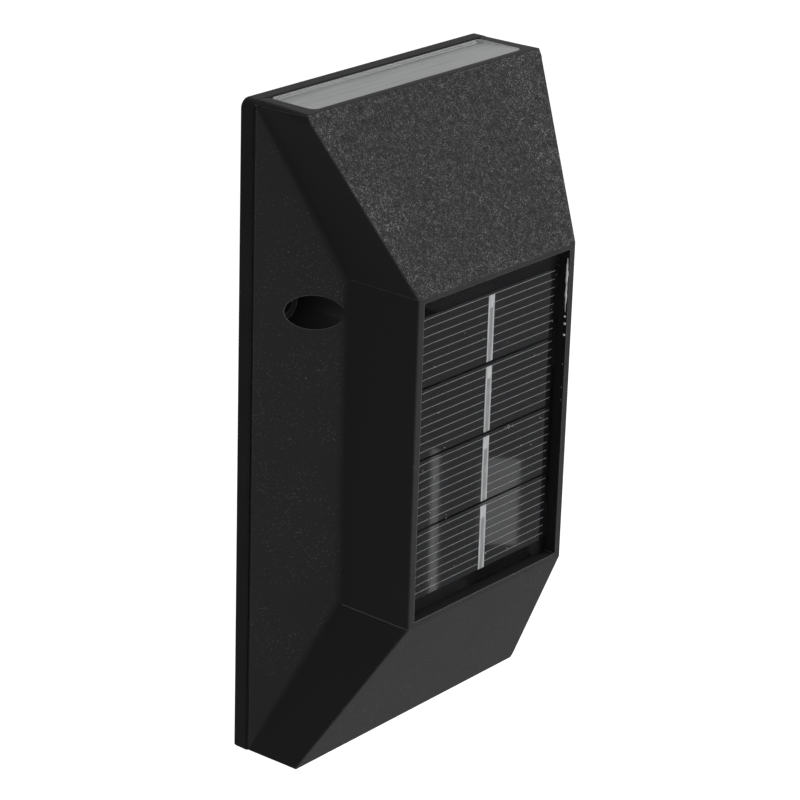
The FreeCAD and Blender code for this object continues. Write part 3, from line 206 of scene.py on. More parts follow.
def texturedBlack(look):
    # spark-eroded moulding grain: coarse where the mould opens freely, none on the steep sides.
    # Painted light here:
    # forward faces paler than the steep sides, painted sparkle on the grain tops, pale specks
    # that are partly painted glints, and worn edges that are partly a painted edge highlight
    material, graph = newMaterial("texturedBlack")
    place = graph.place()
    facing = graph.facing()
    outward = -1 * graph.axis(facing, "Y")
    upward = graph.axis(facing, "Z")
    grain = graph.grains(place, look["grain"])
    specks = graph.grains(place, look["speckSize"])
    patches = graph.noise(place, look["patch"], 2.0)
    broad = graph.noise(place, look["broad"], 3.0)
    rounded, edge = edgeMask(graph, look["edge"], look["edgeLow"], look["edgeHigh"])
    texture = (outward + 0.6 * upward).ramp(look["textureFrom"], look["textureFull"])

    # scuffs run along the side edges and the folds of the front
    nearSide = (graph.axis(place, "X").size() * 1000).ramp(
        look["frontHalfWidth"] - look["scuffBand"], look["frontHalfWidth"] + look["scuffPast"])
    nearFold = (graph.axis(place, "Z").size() * 1000).ramp(
        look["frontHalfHeight"] + look["scuffBand"], look["frontHalfHeight"])
    scuff = nearSide.most(nearFold) * broad.ramp(0.3, 0.65)

    # painted light: by their facing alone, faces that look forward get a paler colour and the
    # steep sides a darker one
    colour = graph.mix(outward.ramp(0.1, 0.85) * (0.8 + 0.4 * broad), look["colour"],
                       look["open"])
    colour = graph.mix(texture, colour, look["between"])
    # painted sparkle: the grain tops on the faces that look up and forward take a pale colour,
    # stronger where scuffed
    paintedSparkle = (grain * grain * specks.ramp(0.1, 0.9) * patches.ramp(0.2, 0.7)
             * texture * (look["texture"] * (0.8 + 0.6 * scuff)))
    colour = graph.mix(paintedSparkle, colour, look["pale"])
    # pale specks on the faces that look forward: partly grain, partly painted glints
    bright = (specks.ramp(look["speckFrom"], 1.0) * outward.ramp(0.1, 0.4)
              * broad.ramp(0.35, 0.6))
    colour = graph.mix(bright, colour, look["speckAndGlint"])
    # paler edges: partly wear, partly a painted edge highlight
    colour = graph.mix(edge * (0.5 + 0.5 * grain), colour, look["worn"])
    rough = look["roughLow"] + (look["roughHigh"] - look["roughLow"]) * outward.ramp(0.2, 0.8)
    normal = graph.bump(texture * grain + 0.15 * specks, look["relief"], 0.5, rounded)
    graph.close(graph.node("BsdfPrincipled", sockets={
        "Base Color": colour, "Roughness": rough, "Specular IOR Level": look["specular"],
        "Normal": normal}))
    return material


def plainFinish(name, look):
    # a moulded, drawn or painted surface with fine grain, soft mottling and worn edges, which
    # on satin black are partly a painted edge highlight
    material, graph = newMaterial(name)
    place = graph.stretch(graph.place(), look.get("stretch", (1, 1, 1)))
    grain = graph.noise(place, look["grain"], 2.0)
    broad = graph.noise(graph.place(), 9, 3.0)
    rounded, edge = edgeMask(graph, look.get("edge", 0.25))
    colour = graph.mix(broad.ramp(0.3, 0.7) * 0.5, look["colour"], look["second"])
    colour = graph.mix(grain.ramp(0.5, 0.8) * 0.4, colour, look["second"])
    # edges take the worn colour: wear, and on satin black partly a painted edge highlight
    colour = graph.mix(edge * 0.6, colour, look.get("worn", look["second"]))
    rough = look["rough"] + 0.15 * (grain - 0.5)
    normal = graph.bump(grain, look["relief"], 0.8, rounded)
    graph.close(graph.node("BsdfPrincipled", sockets={
        "Base Color": colour, "Roughness": rough, "Metallic": look.get("metallic", 0.0),
        "Specular IOR Level": look.get("specular", 0.35),
        "Coat Weight": look.get("coat", 0.0), "Normal": normal}))
    return material


# grain, relief and edge are in millimetres; stretch below 1 draws the grain out
plainLooks = {
    # satin black's paler edges are partly wear and partly a painted edge highlight
    "satin_black": {"colour": (0.0085, 0.0085, 0.0088), "second": (0.016, 0.016, 0.0165),
                    "worn": (0.05, 0.05, 0.051), "grain": 0.22, "relief": 0.02,
                    "rough": 0.5, "specular": 0.035},
    "seal_rubber": {"colour": (0.018, 0.018, 0.018), "second": (0.04, 0.04, 0.038),
                    "grain": 0.3, "relief": 0.05, "rough": 0.85, "specular": 0.2},
    "zinc_steel": {"colour": (0.52, 0.53, 0.55), "second": (0.36, 0.35, 0.3),
                   "worn": (0.7, 0.7, 0.7), "grain": 0.2, "relief": 0.01, "rough": 0.34,
                   "metallic": 1.0, "stretch": (1, 4, 1)},
    "spring_steel": {"colour": (0.62, 0.62, 0.6), "second": (0.42, 0.41, 0.38),
                     "grain": 0.12, "relief": 0.006, "rough": 0.26, "metallic": 1.0},
    "cell_can": {"colour": (0.66, 0.66, 0.65), "second": (0.5, 0.49, 0.46),
                 "grain": 0.25, "relief": 0.006, "rough": 0.24, "metallic": 1.0,
                 "stretch": (1, 1, 0.1)},
    "cell_sleeve": {"colour": (0.03, 0.22, 0.07), "second": (0.05, 0.3, 0.11),
                    "grain": 1.4, "relief": 0.03, "rough": 0.28, "coat": 0.4,
                    "stretch": (1, 1, 0.2)},
    "foam_tape": {"colour": (0.05, 0.05, 0.05), "second": (0.12, 0.12, 0.115),
                  "grain": 0.35, "relief": 0.15, "rough": 0.95, "specular": 0.1},
    "black_board": {"colour": (0.0105, 0.0105, 0.011), "second": (0.0135, 0.0135, 0.014),
                    "grain": 0.4, "relief": 0.005, "rough": 0.6, "specular": 0.02},
    "white_board": {"colour": (0.78, 0.78, 0.75), "second": (0.66, 0.66, 0.63),
                    "grain": 0.5, "relief": 0.012, "rough": 0.38},
    "lamp_phosphor": {"colour": (0.82, 0.62, 0.12), "second": (0.74, 0.5, 0.07),
                      "grain": 0.18, "relief": 0.02, "rough": 0.42, "coat": 0.5},
    "chip_black": {"colour": (0.02, 0.02, 0.02), "second": (0.045, 0.045, 0.044),
                   "grain": 0.09, "relief": 0.02, "rough": 0.62},
    "ferrite": {"colour": (0.045, 0.042, 0.038), "second": (0.3, 0.12, 0.05),
                "grain": 0.3, "relief": 0.05, "rough": 0.5, "stretch": (0.2, 0.2, 3)},
    "can_aluminium": {"colour": (0.7, 0.7, 0.71), "second": (0.55, 0.55, 0.56),
                      "grain": 0.2, "relief": 0.008, "rough": 0.3, "metallic": 1.0,
                      "stretch": (1, 1, 0.15)},
    "switch_shell": {"colour": (0.03, 0.03, 0.03), "second": (0.06, 0.06, 0.058),
                     "worn": (0.45, 0.45, 0.44), "grain": 0.15, "relief": 0.02,
                     "rough": 0.45},
    "knob_black": {"colour": (0.03, 0.03, 0.03), "second": (0.055, 0.055, 0.054),
                   "worn": (0.12, 0.12, 0.12), "grain": 0.14, "relief": 0.03,
                   "rough": 0.5},
    "lead_insulation": {"colour": (0.3, 0.02, 0.02), "second": (0.4, 0.05, 0.04),
                        "grain": 0.6, "relief": 0.02, "rough": 0.45, "coat": 0.2},
}


boardLook = {
    "mask": (0.015, 0.11, 0.035), "copper": (0.035, 0.22, 0.08),
    "cell": 3.2, "tracks": 6.6, "rough": 0.3, "relief": 0.02,
}


def greenBoard(look):
    # solder mask over tracks that show as paler bands
    material, graph = newMaterial("greenBoard")
    place = graph.place()
    cell = graph.node("TexVoronoi", {"distance": "MANHATTAN", "feature": "F1"},
                      {"Vector": graph.stretch(place, (1, 0.05, 1)),
                       "Scale": 1 / (look["cell"] * mm), "Randomness": 0.55},
                      output="Distance")
    bands = ((cell * look["tracks"]).fraction() - 0.5).size()
    tracks = bands.ramp(0.2, 0.16)
    colour = graph.mix(tracks * 0.75, look["mask"], look["copper"])
    grain = graph.noise(place, 0.3, 2.0)
    graph.close(graph.node("BsdfPrincipled", sockets={
        "Base Color": colour, "Roughness": look["rough"] + 0.1 * grain,
        "Normal": graph.bump(tracks + 0.2 * grain, look["relief"], 0.8)}))
    return material


lensLook = {
    "colour": (0.20, 0.205, 0.21), "pale": (0.33, 0.335, 0.34), "dark": (0.13, 0.132, 0.135),
    "streak": 0.5, "flutePitch": 1.6, "rough": 0.28, "relief": 0.05, "edge": 0.3,
    "transmission": 0.25,
}


def frostedLens(look):
    # frosted window: lengthwise streaks from the flutes inside it
    material, graph = newMaterial("frostedLens")
    place = graph.place()
    streaks = graph.noise(graph.stretch(place, (0.02, 1, 1)), look["streak"], 2.0)
    broad = graph.noise(graph.stretch(place, (0.5, 1, 1)), 9, 2.0)
    frost = graph.noise(place, 0.15, 2.0)
    flutes = (graph.axis(place, "Y") * (2 * math.pi / (look["flutePitch"] * mm))).wave()
    colour = graph.mix(streaks.ramp(0.35, 0.68), look["dark"], look["pale"])
    colour = graph.mix(0.55, colour, look["colour"])
    colour = graph.mix(broad.ramp(0.4, 0.7) * 0.4, colour, look["pale"])
    height = 0.5 * streaks + 0.12 * flutes + 0.2 * frost
    rounded, edge = edgeMask(graph, look["edge"])
    colour = graph.mix(edge * 0.5, colour, look["dark"])
    graph.close(graph.node("BsdfPrincipled", sockets={
        "Base Color": colour, "Roughness": look["rough"] + 0.2 * frost,
        "Transmission Weight": look["transmission"],
        "Normal": graph.bump(height, look["relief"], 0.6, rounded)}))
    return material


cellLook = {
    "colour": (0.0075, 0.0075, 0.0082), "second": (0.0105, 0.0107, 0.0118),
    "rough": 0.03, "specular": 0.05,
}


def siliconCell(look):
    # near-black polished silicon with faint lengthwise saw marks
    material, graph = newMaterial("siliconCell")
    place = graph.place()
    marks = graph.noise(graph.stretch(place, (0.04, 1, 1)), 0.25, 2.0)
    broad = graph.noise(place, 11, 2.0)
    colour = graph.mix(broad.ramp(0.3, 0.7) * 0.6 + marks * 0.3, look["colour"],
                       look["second"])
    graph.close(graph.node("BsdfPrincipled", sockets={
        "Base Color": colour, "Roughness": look["rough"] + 0.01 * marks,
        "Specular IOR Level": look["specular"], "Normal": graph.bump(broad, 0.01, 0.2)}))
    return material


ribbonLook = {
    "colour": (0.34, 0.34, 0.345), "bright": (0.44, 0.44, 0.44), "dull": (0.13, 0.13, 0.13),
    "rough": 0.4, "metallic": 0.15, "relief": 0.03,
    "centre": 0.6, "streak": 0.58, "streakSoft": 0.12,      # worn streak down the middle
    "top": 31.9, "pitch": 16.3, "solder": 3.2, "solderSoft": 0.4,
}


def tinnedRibbon(look):
    # dipped solder: dull with brighter runs, worn along the middle below each joint
    material, graph = newMaterial("tinnedRibbon")
    place = graph.place()
    runs = graph.noise(graph.stretch(place, (1, 1, 0.12)), 0.45, 2.0)
    fine = graph.noise(place, 0.15, 2.0)
    colour = graph.mix(runs.ramp(0.42, 0.58), look["colour"], look["bright"])
    down = (look["top"] * mm - graph.axis(place, "Z")) / (look["pitch"] * mm)
    below = down.fraction().ramp(look["solder"] / look["pitch"],
                                 (look["solder"] + look["solderSoft"]) / look["pitch"])
    aside = (graph.axis(place, "X") * 1000 - look["centre"]).size()
    worn = (aside.ramp(look["streak"] + look["streakSoft"],
                       look["streak"] - look["streakSoft"])
            * below * runs.ramp(0.2, 0.5))
    colour = graph.mix(worn * 0.85, colour, look["dull"])
    colour = graph.mix(fine.ramp(0.6, 0.75) * 0.4, colour, look["dull"])
    graph.close(graph.node("BsdfPrincipled", sockets={
        "Base Color": colour, "Metallic": look["metallic"],
        "Roughness": look["rough"] + 0.2 * fine,
        "Normal": graph.bump(runs + 0.3 * fine, look["relief"], 0.7)}))
    return material


fingerPrint = {"colour": (0.34, 0.345, 0.345), "second": (0.44, 0.445, 0.445),
               "grain": 0.3, "relief": 0.005, "rough": 0.5, "specular": 0.1, "edge": 0.02}

sealantLook = {"colour": (0.5, 0.5, 0.5), "second": (0.7, 0.7, 0.7), "grain": 0.5,
               "relief": 0.02, "rough": 0.12, "specular": 0.6, "coat": 0.6, "edge": 0.05}

resinLook = {
    "clear": (0.97, 0.975, 0.98), "meniscusSheen": (0.1, 0.1, 0.1), "index": 1.12,
    "wave": 9, "relief": 0.02, "climbing": 0.06,
}


def clearResin(look):
    # poured clear resin: see-through, with a painted sheen where its skin climbs the walls, a
    # matt grey that stands in for its reflection
    material, graph = newMaterial("clearResin")
    normal = graph.bump(graph.noise(graph.place(), look["wave"], 1.0), look["relief"], 0.3)
    # painted sheen: a matt grey diffuse, weighted by the Fresnel term on the climbing skin,
    # stands in for the reflection there
    meniscusSheen = graph.node("BsdfDiffuse", sockets={"Color": look["meniscusSheen"], "Normal": normal})
    through = graph.node("BsdfTransparent", sockets={"Color": look["clear"]})
    turned = graph.node("Fresnel", sockets={"IOR": look["index"], "Normal": normal})
    inside = graph.node("NewGeometry", output="Backfacing")
    climbing = (1 + graph.axis(graph.facing(), "Y")).ramp(0.0, look["climbing"])
    graph.close(graph.node("MixShader", sockets={
        0: turned * climbing * (1 - inside), 1: through, 2: meniscusSheen}))
    return material


def dressNodes():
    # every slot of the record gets its finish, and each node takes its slot's one
    finishes = {name: plainFinish(name.replace("_", "-"), look)
                for name, look in plainLooks.items()}
    finishes["textured_black"] = texturedBlack(housingLook)
    finishes["green_board"] = greenBoard(boardLook)
    finishes["frosted_lens"] = frostedLens(lensLook)
    finishes["silicon"] = siliconCell(cellLook)
    finishes["tinned_ribbon"] = tinnedRibbon(ribbonLook)
    finishes["clear_resin"] = clearResin(resinLook)
    finishes["cured_sealant"] = plainFinish("curedSealant", sealantLook)
    finishes["printed_silver"] = plainFinish("printedSilver", fingerPrint)
    for row in frame["record"]["subparts"]:
        node = frame["nodes"][row["node"]]
        node.data.materials.clear()
        node.data.materials.append(finishes[row["material_slot"]])
    return finishes


finishes = dressNodes()
print("stage: finishes made,", len(finishes))


# in millimetres; pairs are for the bottom end and the top end, radii run from the plate
# to the front of the end
form = {
    "halfHeight": 75.0, "halfFront": 37.5, "bodyDepth": 39.2, "endDepth": 17.9,
    "plateDepth": 3.5, "rim": 38.3, "plate": 38.9, "skirtDepth": 19.2, "skirtSlope": 1.32,
    "skin": 0.55,           # points this near to a face move with it
    "faceSlack": 1.0,       # how far past the end face's front edge its points lie
    "cornerSlack": 0.8,     # the same for the rounded corners
    "solid": {"waist": 26.7, "draft": (0.4, 0.4), "lip": 1.7, "flareEnd": 75.0,
              "plateRadius": (4.0, 4.0), "topRadii": (3.0, 0.6), "bottomRadii": (3.0, 0.6)},
    "shown": {"waist": 26.8, "draft": (0.5, 0.1), "lip": 0.0, "flareEnd": 73.2,
              "plateRadius": (0.9, 2.2), "topRadii": (1.8, 0.8), "bottomRadii": (0.6, 0.4)},
}
window = {
    "drop": 0.45, "skirt": 1.1,                 # the window's rise, and the height that rises
    "rim": 1.4, "trayDepth": 0.6, "flat": 0.02,
    "grooveFrom": 1.1, "grooveTo": 1.6, "grooveShift": 0.8,
    "backBand": 1.7, "backShift": 0.6,          # the back edge moves forward
    "seatHeight": 4.0, "gap": 0.15,             # the housing's opening around the window
}
tiny = 0.001


def wallAt(size, shape, height):
    # half-width of the waisted side wall at a height
    slope = (size["rim"] - shape["waist"]) / (shape["flareEnd"] - size["halfFront"])
    return min(size["rim"], shape["waist"] + slope * max(0.0, height - size["halfFront"]))


def alongDepth(size, depth):
    # 0 at the plate's front, 1 at the front edge of the end face
    return (depth - size["plateDepth"]) / (size["endDepth"] - size["plateDepth"])


def endAt(size, shape, depth, atTop):
    # height of the end face, which leans by its draft
    return size["halfHeight"] - shape["draft"][atTop] * alongDepth(size, depth)


def faceAt(size, shape, height, atTop):
    # depth of the sloping face, with the lip over it where there is one
    corner = size["halfHeight"] - shape["draft"][atTop] - (shape["lip"] if atTop else 0.0)
    slope = (size["bodyDepth"] - size["endDepth"]) / (corner - size["halfFront"])
    return size["endDepth"] + slope * max(0.0, corner - height)


def tightenCorner(across, height, oldCorner, newCorner):
    # moves what lies in a rounded corner so that its radius becomes the new one
    oldWidth, oldEnd, oldRadius = oldCorner
    newWidth, newEnd, newRadius = newCorner
    slack = 10 * tiny
    if across < oldWidth - oldRadius - slack or height < oldEnd - oldRadius - slack:
        return across, height
    scale = newRadius / oldRadius
    return (newWidth - newRadius + (across - oldWidth + oldRadius) * scale,
            newEnd - newRadius + (height - oldEnd + oldRadius) * scale)


def reshapeHousing(size, across, depth, height, atTop):
    solid, shown = size["solid"], size["shown"]
    movedAcross, movedDepth, movedHeight = across, depth, height

    # side wall and skirt: the flare reaches the rim below the end
    solidWall = wallAt(size, solid, height)
    if height > size["halfFront"] and across > solidWall - size["skin"]:
        widen = wallAt(size, shown, height) - solidWall
        share = min(1.0, (size["rim"] - across + tiny) / (size["rim"] - solidWall + tiny))
        offWall = max(0.0, across - solidWall)
        offSkirt = abs(depth - size["skirtDepth"]
                       + size["skirtSlope"] * (across - solid["waist"]))
        onSkirt = offWall / (offWall + offSkirt + tiny)
        movedAcross += widen * share
        movedDepth -= size["skirtSlope"] * widen * share * onSkirt

    onFace = abs(depth - faceAt(size, solid, height, atTop)) < size["skin"]
    if onFace and height > size["halfFront"]:
        movedDepth += faceAt(size, shown, height, atTop) - faceAt(size, solid, height, atTop)
    onEnd = abs(height - endAt(size, solid, depth, atTop)) < size["skin"]
    if onEnd and depth < size["endDepth"] + size["faceSlack"]:
        share = min(1.0, max(0.0, alongDepth(size, depth)))
        movedHeight += (solid["draft"][atTop] - shown["draft"][atTop]) * share

    if movedDepth < size["endDepth"] + size["cornerSlack"]:
        share = min(1.0, max(0.0, alongDepth(size, movedDepth)))
        corners = []
        for shape in (solid, shown):
            first, last = shape["topRadii" if atTop else "bottomRadii"]
            level = size["halfHeight"] - shown["draft"][atTop] * share
            corners.append((size["rim"], level, first + (last - first) * share))
        movedAcross, movedHeight = tightenCorner(movedAcross, movedHeight, *corners)

    behindWindow = depth - window["back"]
    if height > size["halfHeight"] - window["seatHeight"] and \
            across < window["half"] + window["gap"] and \
            -window["gap"] < behindWindow < window["backBand"]:
        movedDepth += window["backShift"]
    return movedAcross, movedDepth, movedHeight


def reshapePlate(size, across, depth, height, atTop):
    corners = [(size["plate"], size["halfHeight"], size[age]["plateRadius"][atTop])
               for age in ("solid", "shown")]
    across, height = tightenCorner(across, height, *corners)
    return across, depth, height


def reshapeWindow(size, across, depth, height, atTop):
    # raised nearly flush with the end face, with a shallow tray inside its rim
    fromSide, fromFront = size["half"] - across, size["front"] - depth
    fromBack = depth - size["back"]
    inset = min(fromSide, fromFront, fromBack)
    onTop = height > size["top"] - size["flat"]
    if height > size["top"] - size["skirt"]:
        height += size["drop"]
    if onTop and inset > size["rim"]:
        height -= size["trayDepth"]
    if size["grooveFrom"] < inset < size["grooveTo"]:
        if fromSide < size["grooveTo"]:
            across += size["grooveShift"]
        if fromFront < size["grooveTo"]:
            depth += size["grooveShift"]
        elif fromBack < size["grooveTo"]:
            depth -= size["grooveShift"]
    if depth < size["back"] + size["backBand"]:
        depth += size["backShift"]
    return across, depth, height


def link(piece):
    bpy.context.scene.collection.objects.link(piece)
    return piece


sharpAngle = 24      # degrees between faces that meet in a hard edge


def reshape(name, node, size, rule, levels=()):
    # a copy of the node's mesh, merged, cut at the given levels and moved by the rule
    source = frame["nodes"][node]
    mesh = bmesh.new()
    mesh.from_mesh(source.data)
    bmesh.ops.remove_doubles(mesh, verts=mesh.verts, dist=0.0005 * mm)
    for level in levels:
        bmesh.ops.bisect_plane(mesh, geom=mesh.verts[:] + mesh.edges[:] + mesh.faces[:],
                               plane_co=(0, 0, level * mm), plane_no=(0, 0, 1), dist=1e-7)
    for vert in mesh.verts:
        x, y, z = (part / mm for part in vert.co)
        across, depth, height = rule(size, abs(x), -y, abs(z), z > 0)
        vert.co = Vector((math.copysign(across, x), -depth, math.copysign(height, z))) * mm
    slot = source.data.materials[0].name
    data = bpy.data.meshes.new(name)
    mesh.to_mesh(data)
    mesh.free()
    for layer in ("custom_normal", "sharp_edge", "sharp_face"):
        if layer in data.attributes:
            data.attributes.remove(data.attributes[layer])
    data.shade_smooth()
    data.set_sharp_from_angle(angle=math.radians(sharpAngle))
    data.materials.clear()
    data.materials.append(bpy.data.materials[slot])
    piece = link(bpy.data.objects.new(name, data))
    flat = piece.modifiers.new("flatFaces", "WEIGHTED_NORMAL")
    flat.mode, flat.weight, flat.keep_sharp = "FACE_AREA", 100, True
    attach(piece, "light")
    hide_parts(node)


lowLens, highLens = (Vector(corner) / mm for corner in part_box("top_lens"))
window["front"], window["back"] = -lowLens.y, -highLens.y
window["half"], window["top"] = highLens.x, highLens.z
flareEnd = form["shown"]["flareEnd"]
reshape("moulded_housing", "front_housing", form, reshapeHousing, (-flareEnd, flareEnd))
reshape("wall_plate", "back_plate", form, reshapePlate)
reshape("top_window", "top_lens", window, reshapeWindow)
reshape("bottom_window", "bottom_lens", window, reshapeWindow)
print("stage: housing, plate and windows brought to the photographed outline")


def addPiece(name, mesh, finish, smooth=False):
    bmesh.ops.recalc_face_normals(mesh, faces=mesh.faces)
    data = bpy.data.meshes.new(name)
    mesh.to_mesh(data)
    mesh.free()
    piece = link(bpy.data.objects.new(name, data))
    data.materials.append(finishes[finish])
    if smooth:
        data.shade_smooth()
    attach(piece, "light")
    return piece


def sweep(mesh, rings):
    # skins a run of closed rings, each a list of (x, y, z), and caps both ends
    rows = [[mesh.verts.new(Vector(point) * mm) for point in ring] for ring in rings]
    count = len(rows[0])
    for near, far in zip(rows, rows[1:]):
        for index in range(count):
            after = (index + 1) % count
            mesh.faces.new((near[index], near[after], far[after], far[index]))
    mesh.faces.new(reversed(rows[0]))
    mesh.faces.new(rows[-1])


fingers = {
    "cells": 4, "cellPitch": 16.4, "perCell": 8, "pitch": 1.914,
    "left": -22.6, "right": 22.9, "depth": 36.8, "width": 0.09, "height": 0.012,
    "crown": 0.7,                           # width of the top over the foot
    "dip": 0.2, "dipLength": 3.2,           # the left ends sag a little
    "segments": 12, "crowd": 1.8,           # steps draw together at the sagging end
}


def makeFingers(size):
    # printed silver lines, raised a hair above the cells
    mesh = bmesh.new()
    low, high = -size["depth"], -size["depth"] - size["height"]
    foot = size["width"] / 2
    top = foot * size["crown"]
    for cell in range(size["cells"]):
        middle = ((size["cells"] - 1) / 2 - cell) * size["cellPitch"]
        for line in range(size["perCell"]):
            level = middle + (line - (size["perCell"] - 1) / 2) * size["pitch"]
            rings = []
            for step in range(size["segments"] + 1):
                share = (step / size["segments"]) ** size["crowd"]
                x = size["left"] + (size["right"] - size["left"]) * share
                near = max(0.0, 1 - (x - size["left"]) / size["dipLength"])
                z = level - size["dip"] * near ** 2
                rings.append([(x, low, z - foot), (x, low, z + foot),
                              (x, high, z + top), (x, high, z - top)])
            sweep(mesh, rings)
    addPiece("cell_fingers", mesh, "printed_silver")


resin = {
    "halfWidth": 24.78, "halfHeight": 36.28, "bottom": 36.6, "level": 37.6,
    "climb": 1.3, "reach": 0.75, "topReach": 1.5,       # the skin climbs the side and top walls
    "lines": 88, "crowd": 1.5, "steep": 0.2,
}


def crowdedLine(half, count, crowd):
    # positions from -half to half that draw together towards both ends
    places = []
    for step in range(count + 1):
        share = 2 * step / count - 1
        places.append(half * math.copysign(1 - (1 - abs(share)) ** crowd, share))
    return places


def makeResin(size):
    # the pour: flat in the middle, climbing the walls of the recess
    mesh = bmesh.new()
    acrossLine = crowdedLine(size["halfWidth"], size["lines"], size["crowd"])
    upLine = crowdedLine(size["halfHeight"], size["lines"], size["crowd"])

    def rise(x, z):
        side = math.exp(-(size["halfWidth"] - abs(x)) / size["reach"])
        head = math.exp(-(size["halfHeight"] - z) / size["topReach"])
        return size["climb"] * min(1.0, (side ** 3 + head ** 3) ** (1 / 3))

    rows = [[mesh.verts.new(Vector((x, -size["level"] - rise(x, z), z)) * mm)
             for x in acrossLine] for z in upLine]
    for below, above in zip(rows, rows[1:]):
        for index in range(len(below) - 1):
            mesh.faces.new((below[index], below[index + 1], above[index + 1], above[index]))
    rim = rows[0] + [row[-1] for row in rows[1:]] + rows[-1][-2::-1] + \
        [row[0] for row in rows[-2:0:-1]]
    base = [mesh.verts.new((vert.co.x, -size["bottom"] * mm, vert.co.z)) for vert in rim]
    for index in range(len(rim)):
        after = (index + 1) % len(rim)
        mesh.faces.new((rim[after], rim[index], base[index], base[after]))
    mesh.faces.new(base)
    mesh.normal_update()
    for face in mesh.faces:
        face.smooth = len(face.verts) == 4 and abs(face.normal.y) > size["steep"]
    piece = addPiece("poured_resin", mesh, "clear_resin")
    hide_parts("panel_resin")


sealant = {
    "across": 24.55, "depth": 38.75, "top": 34.3, "bottom": 21.7, "steps": 90, "sides": 8,
    "radius": 0.36, "least": 0.05, "flat": 0.7,
    "drops": ((20.7, 0.26), (19.0, 0.32), (16.4, 0.3), (9.5, 0.1), (4.0, 0.1), (1.0, 0.08)),
    "dropSteps": 6, "dropTip": 0.02,
}


def makeSealant(size):
    # squeezed-out bead of clear sealant on the right lip, thinning out into drops
    mesh = bmesh.new()
    turns = [2 * math.pi * side / size["sides"] for side in range(size["sides"])]

    def lump(levels):
        # one closed bead through (level, radius) pairs, wandering a little to the side
        rings = []
        for level, radius in levels:
            wander = 0.06 * math.sin(level * 2.1) + 0.025 * math.sin(level * 6.3)
            rings.append([(size["across"] + wander + radius * math.cos(turn) * size["flat"],
                           -size["depth"] - radius * math.sin(turn), level)
                          for turn in turns])
        sweep(mesh, rings)

    run = []
    for step in range(size["steps"] + 1):
        share = step / size["steps"]
        level = size["top"] + (size["bottom"] - size["top"]) * share
        taper = min(1.0, 8 * share, 3 * (1 - share))
        swell = 0.72 + 0.2 * math.sin(level * 1.3) + 0.12 * math.sin(level * 3.7 + 1)
        run.append((level, size["least"] + (size["radius"] - size["least"]) * taper * swell))
    lump(run)
    for level, radius in size["drops"]:
        halfTurn = [math.pi * step / size["dropSteps"] for step in range(size["dropSteps"] + 1)]
        lump([(level + radius * math.cos(turn), size["dropTip"] + radius * math.sin(turn))
              for turn in halfTurn])
    addPiece("lip_sealant", mesh, "cured_sealant", smooth=True)


bubbles = {
    "count": 46, "seed": 11, "least": 0.05, "most": 0.13, "level": 37.6, "sunk": 0.01,
    "halfWidth": 23.0, "halfHeight": 33.0, "sides": 8, "rings": (0.0, 0.5, 0.9), "flat": 0.6,
    "patch": (7.4, -0.9), "patchCount": 9, "patchSpread": 1.3, "patchFlat": 0.3,
}


def makeBubbles(size):
    # specks and tiny bubbles caught in the skin of the pour, with one cluster near a joint
    chance = random.Random(size["seed"])
    mesh = bmesh.new()
    turns = [2 * math.pi * side / size["sides"] for side in range(size["sides"])]
    spots = [(chance.uniform(-1, 1) * size["halfWidth"],
              chance.uniform(-1, 1) * size["halfHeight"]) for _ in range(size["count"])]
    patchAcross, patchLevel = size["patch"]
    spots += [(patchAcross + chance.gauss(0, 1) * size["patchSpread"],
               patchLevel + chance.gauss(0, size["patchFlat"]) * size["patchSpread"])
              for _ in range(size["patchCount"])]
    for across, level in spots:
        radius = chance.uniform(size["least"], size["most"])
        rings = []
        for share in size["rings"]:
            reach = radius * math.cos(share * math.pi / 2)
            rise = radius * size["flat"] * math.sin(share * math.pi / 2)
            rings.append([(across + reach * math.cos(turn),
                           size["sunk"] - size["level"] - rise,
                           level + reach * math.sin(turn)) for turn in turns])
        sweep(mesh, rings)
    addPiece("resin_specks", mesh, "cured_sealant", smooth=True)


makeFingers(fingers)
makeResin(resin)
makeSealant(sealant)
makeBubbles(bubbles)
print("stage: fine pieces made")


# lamp places and sizes are in metres, powers in watts; the card and the strip are small
# and weak, and are there to be seen as reflections in the panel
studio = {
    "floorLevel": -0.2, "floorSize": 9.0, "floorColour": (0.6, 0.6, 0.6), "floorGlow": 0.7,
    "world": 0.42, "keyPower": 11.0, "keySize": 0.55, "keyDistance": 1.25,
    "keyDirection": (0.66, -0.60, 0.46), "keyTarget": (0, -0.02, 0),
    "fillPower": 5.0, "fillSize": 1.4, "fillDistance": 1.6,
    "fillDirection": (-0.5, -0.7, 0.5), "fillTarget": (0, 0, 0), "panelTarget": (0, -0.037, 0),
    "cardPlace": (0.2386, -0.2149, -0.145), "cardSize": (0.0125, 0.028), "cardPower": 0.0046,
    "stripPlace": (0.2026, -0.2129, -0.1403), "stripSize": (0.0025, 0.046),
    "stripPower": 0.0023,
}


def shownDirectly(graph):
    # 1 where the camera, a reflection or a see-through surface looks at the stage
    camera, glossy, through = (graph.node("LightPath", output=name) for name in
                               ("Is Camera Ray", "Is Glossy Ray", "Is Transmission Ray"))
    return (camera + glossy + through).least(1.0)


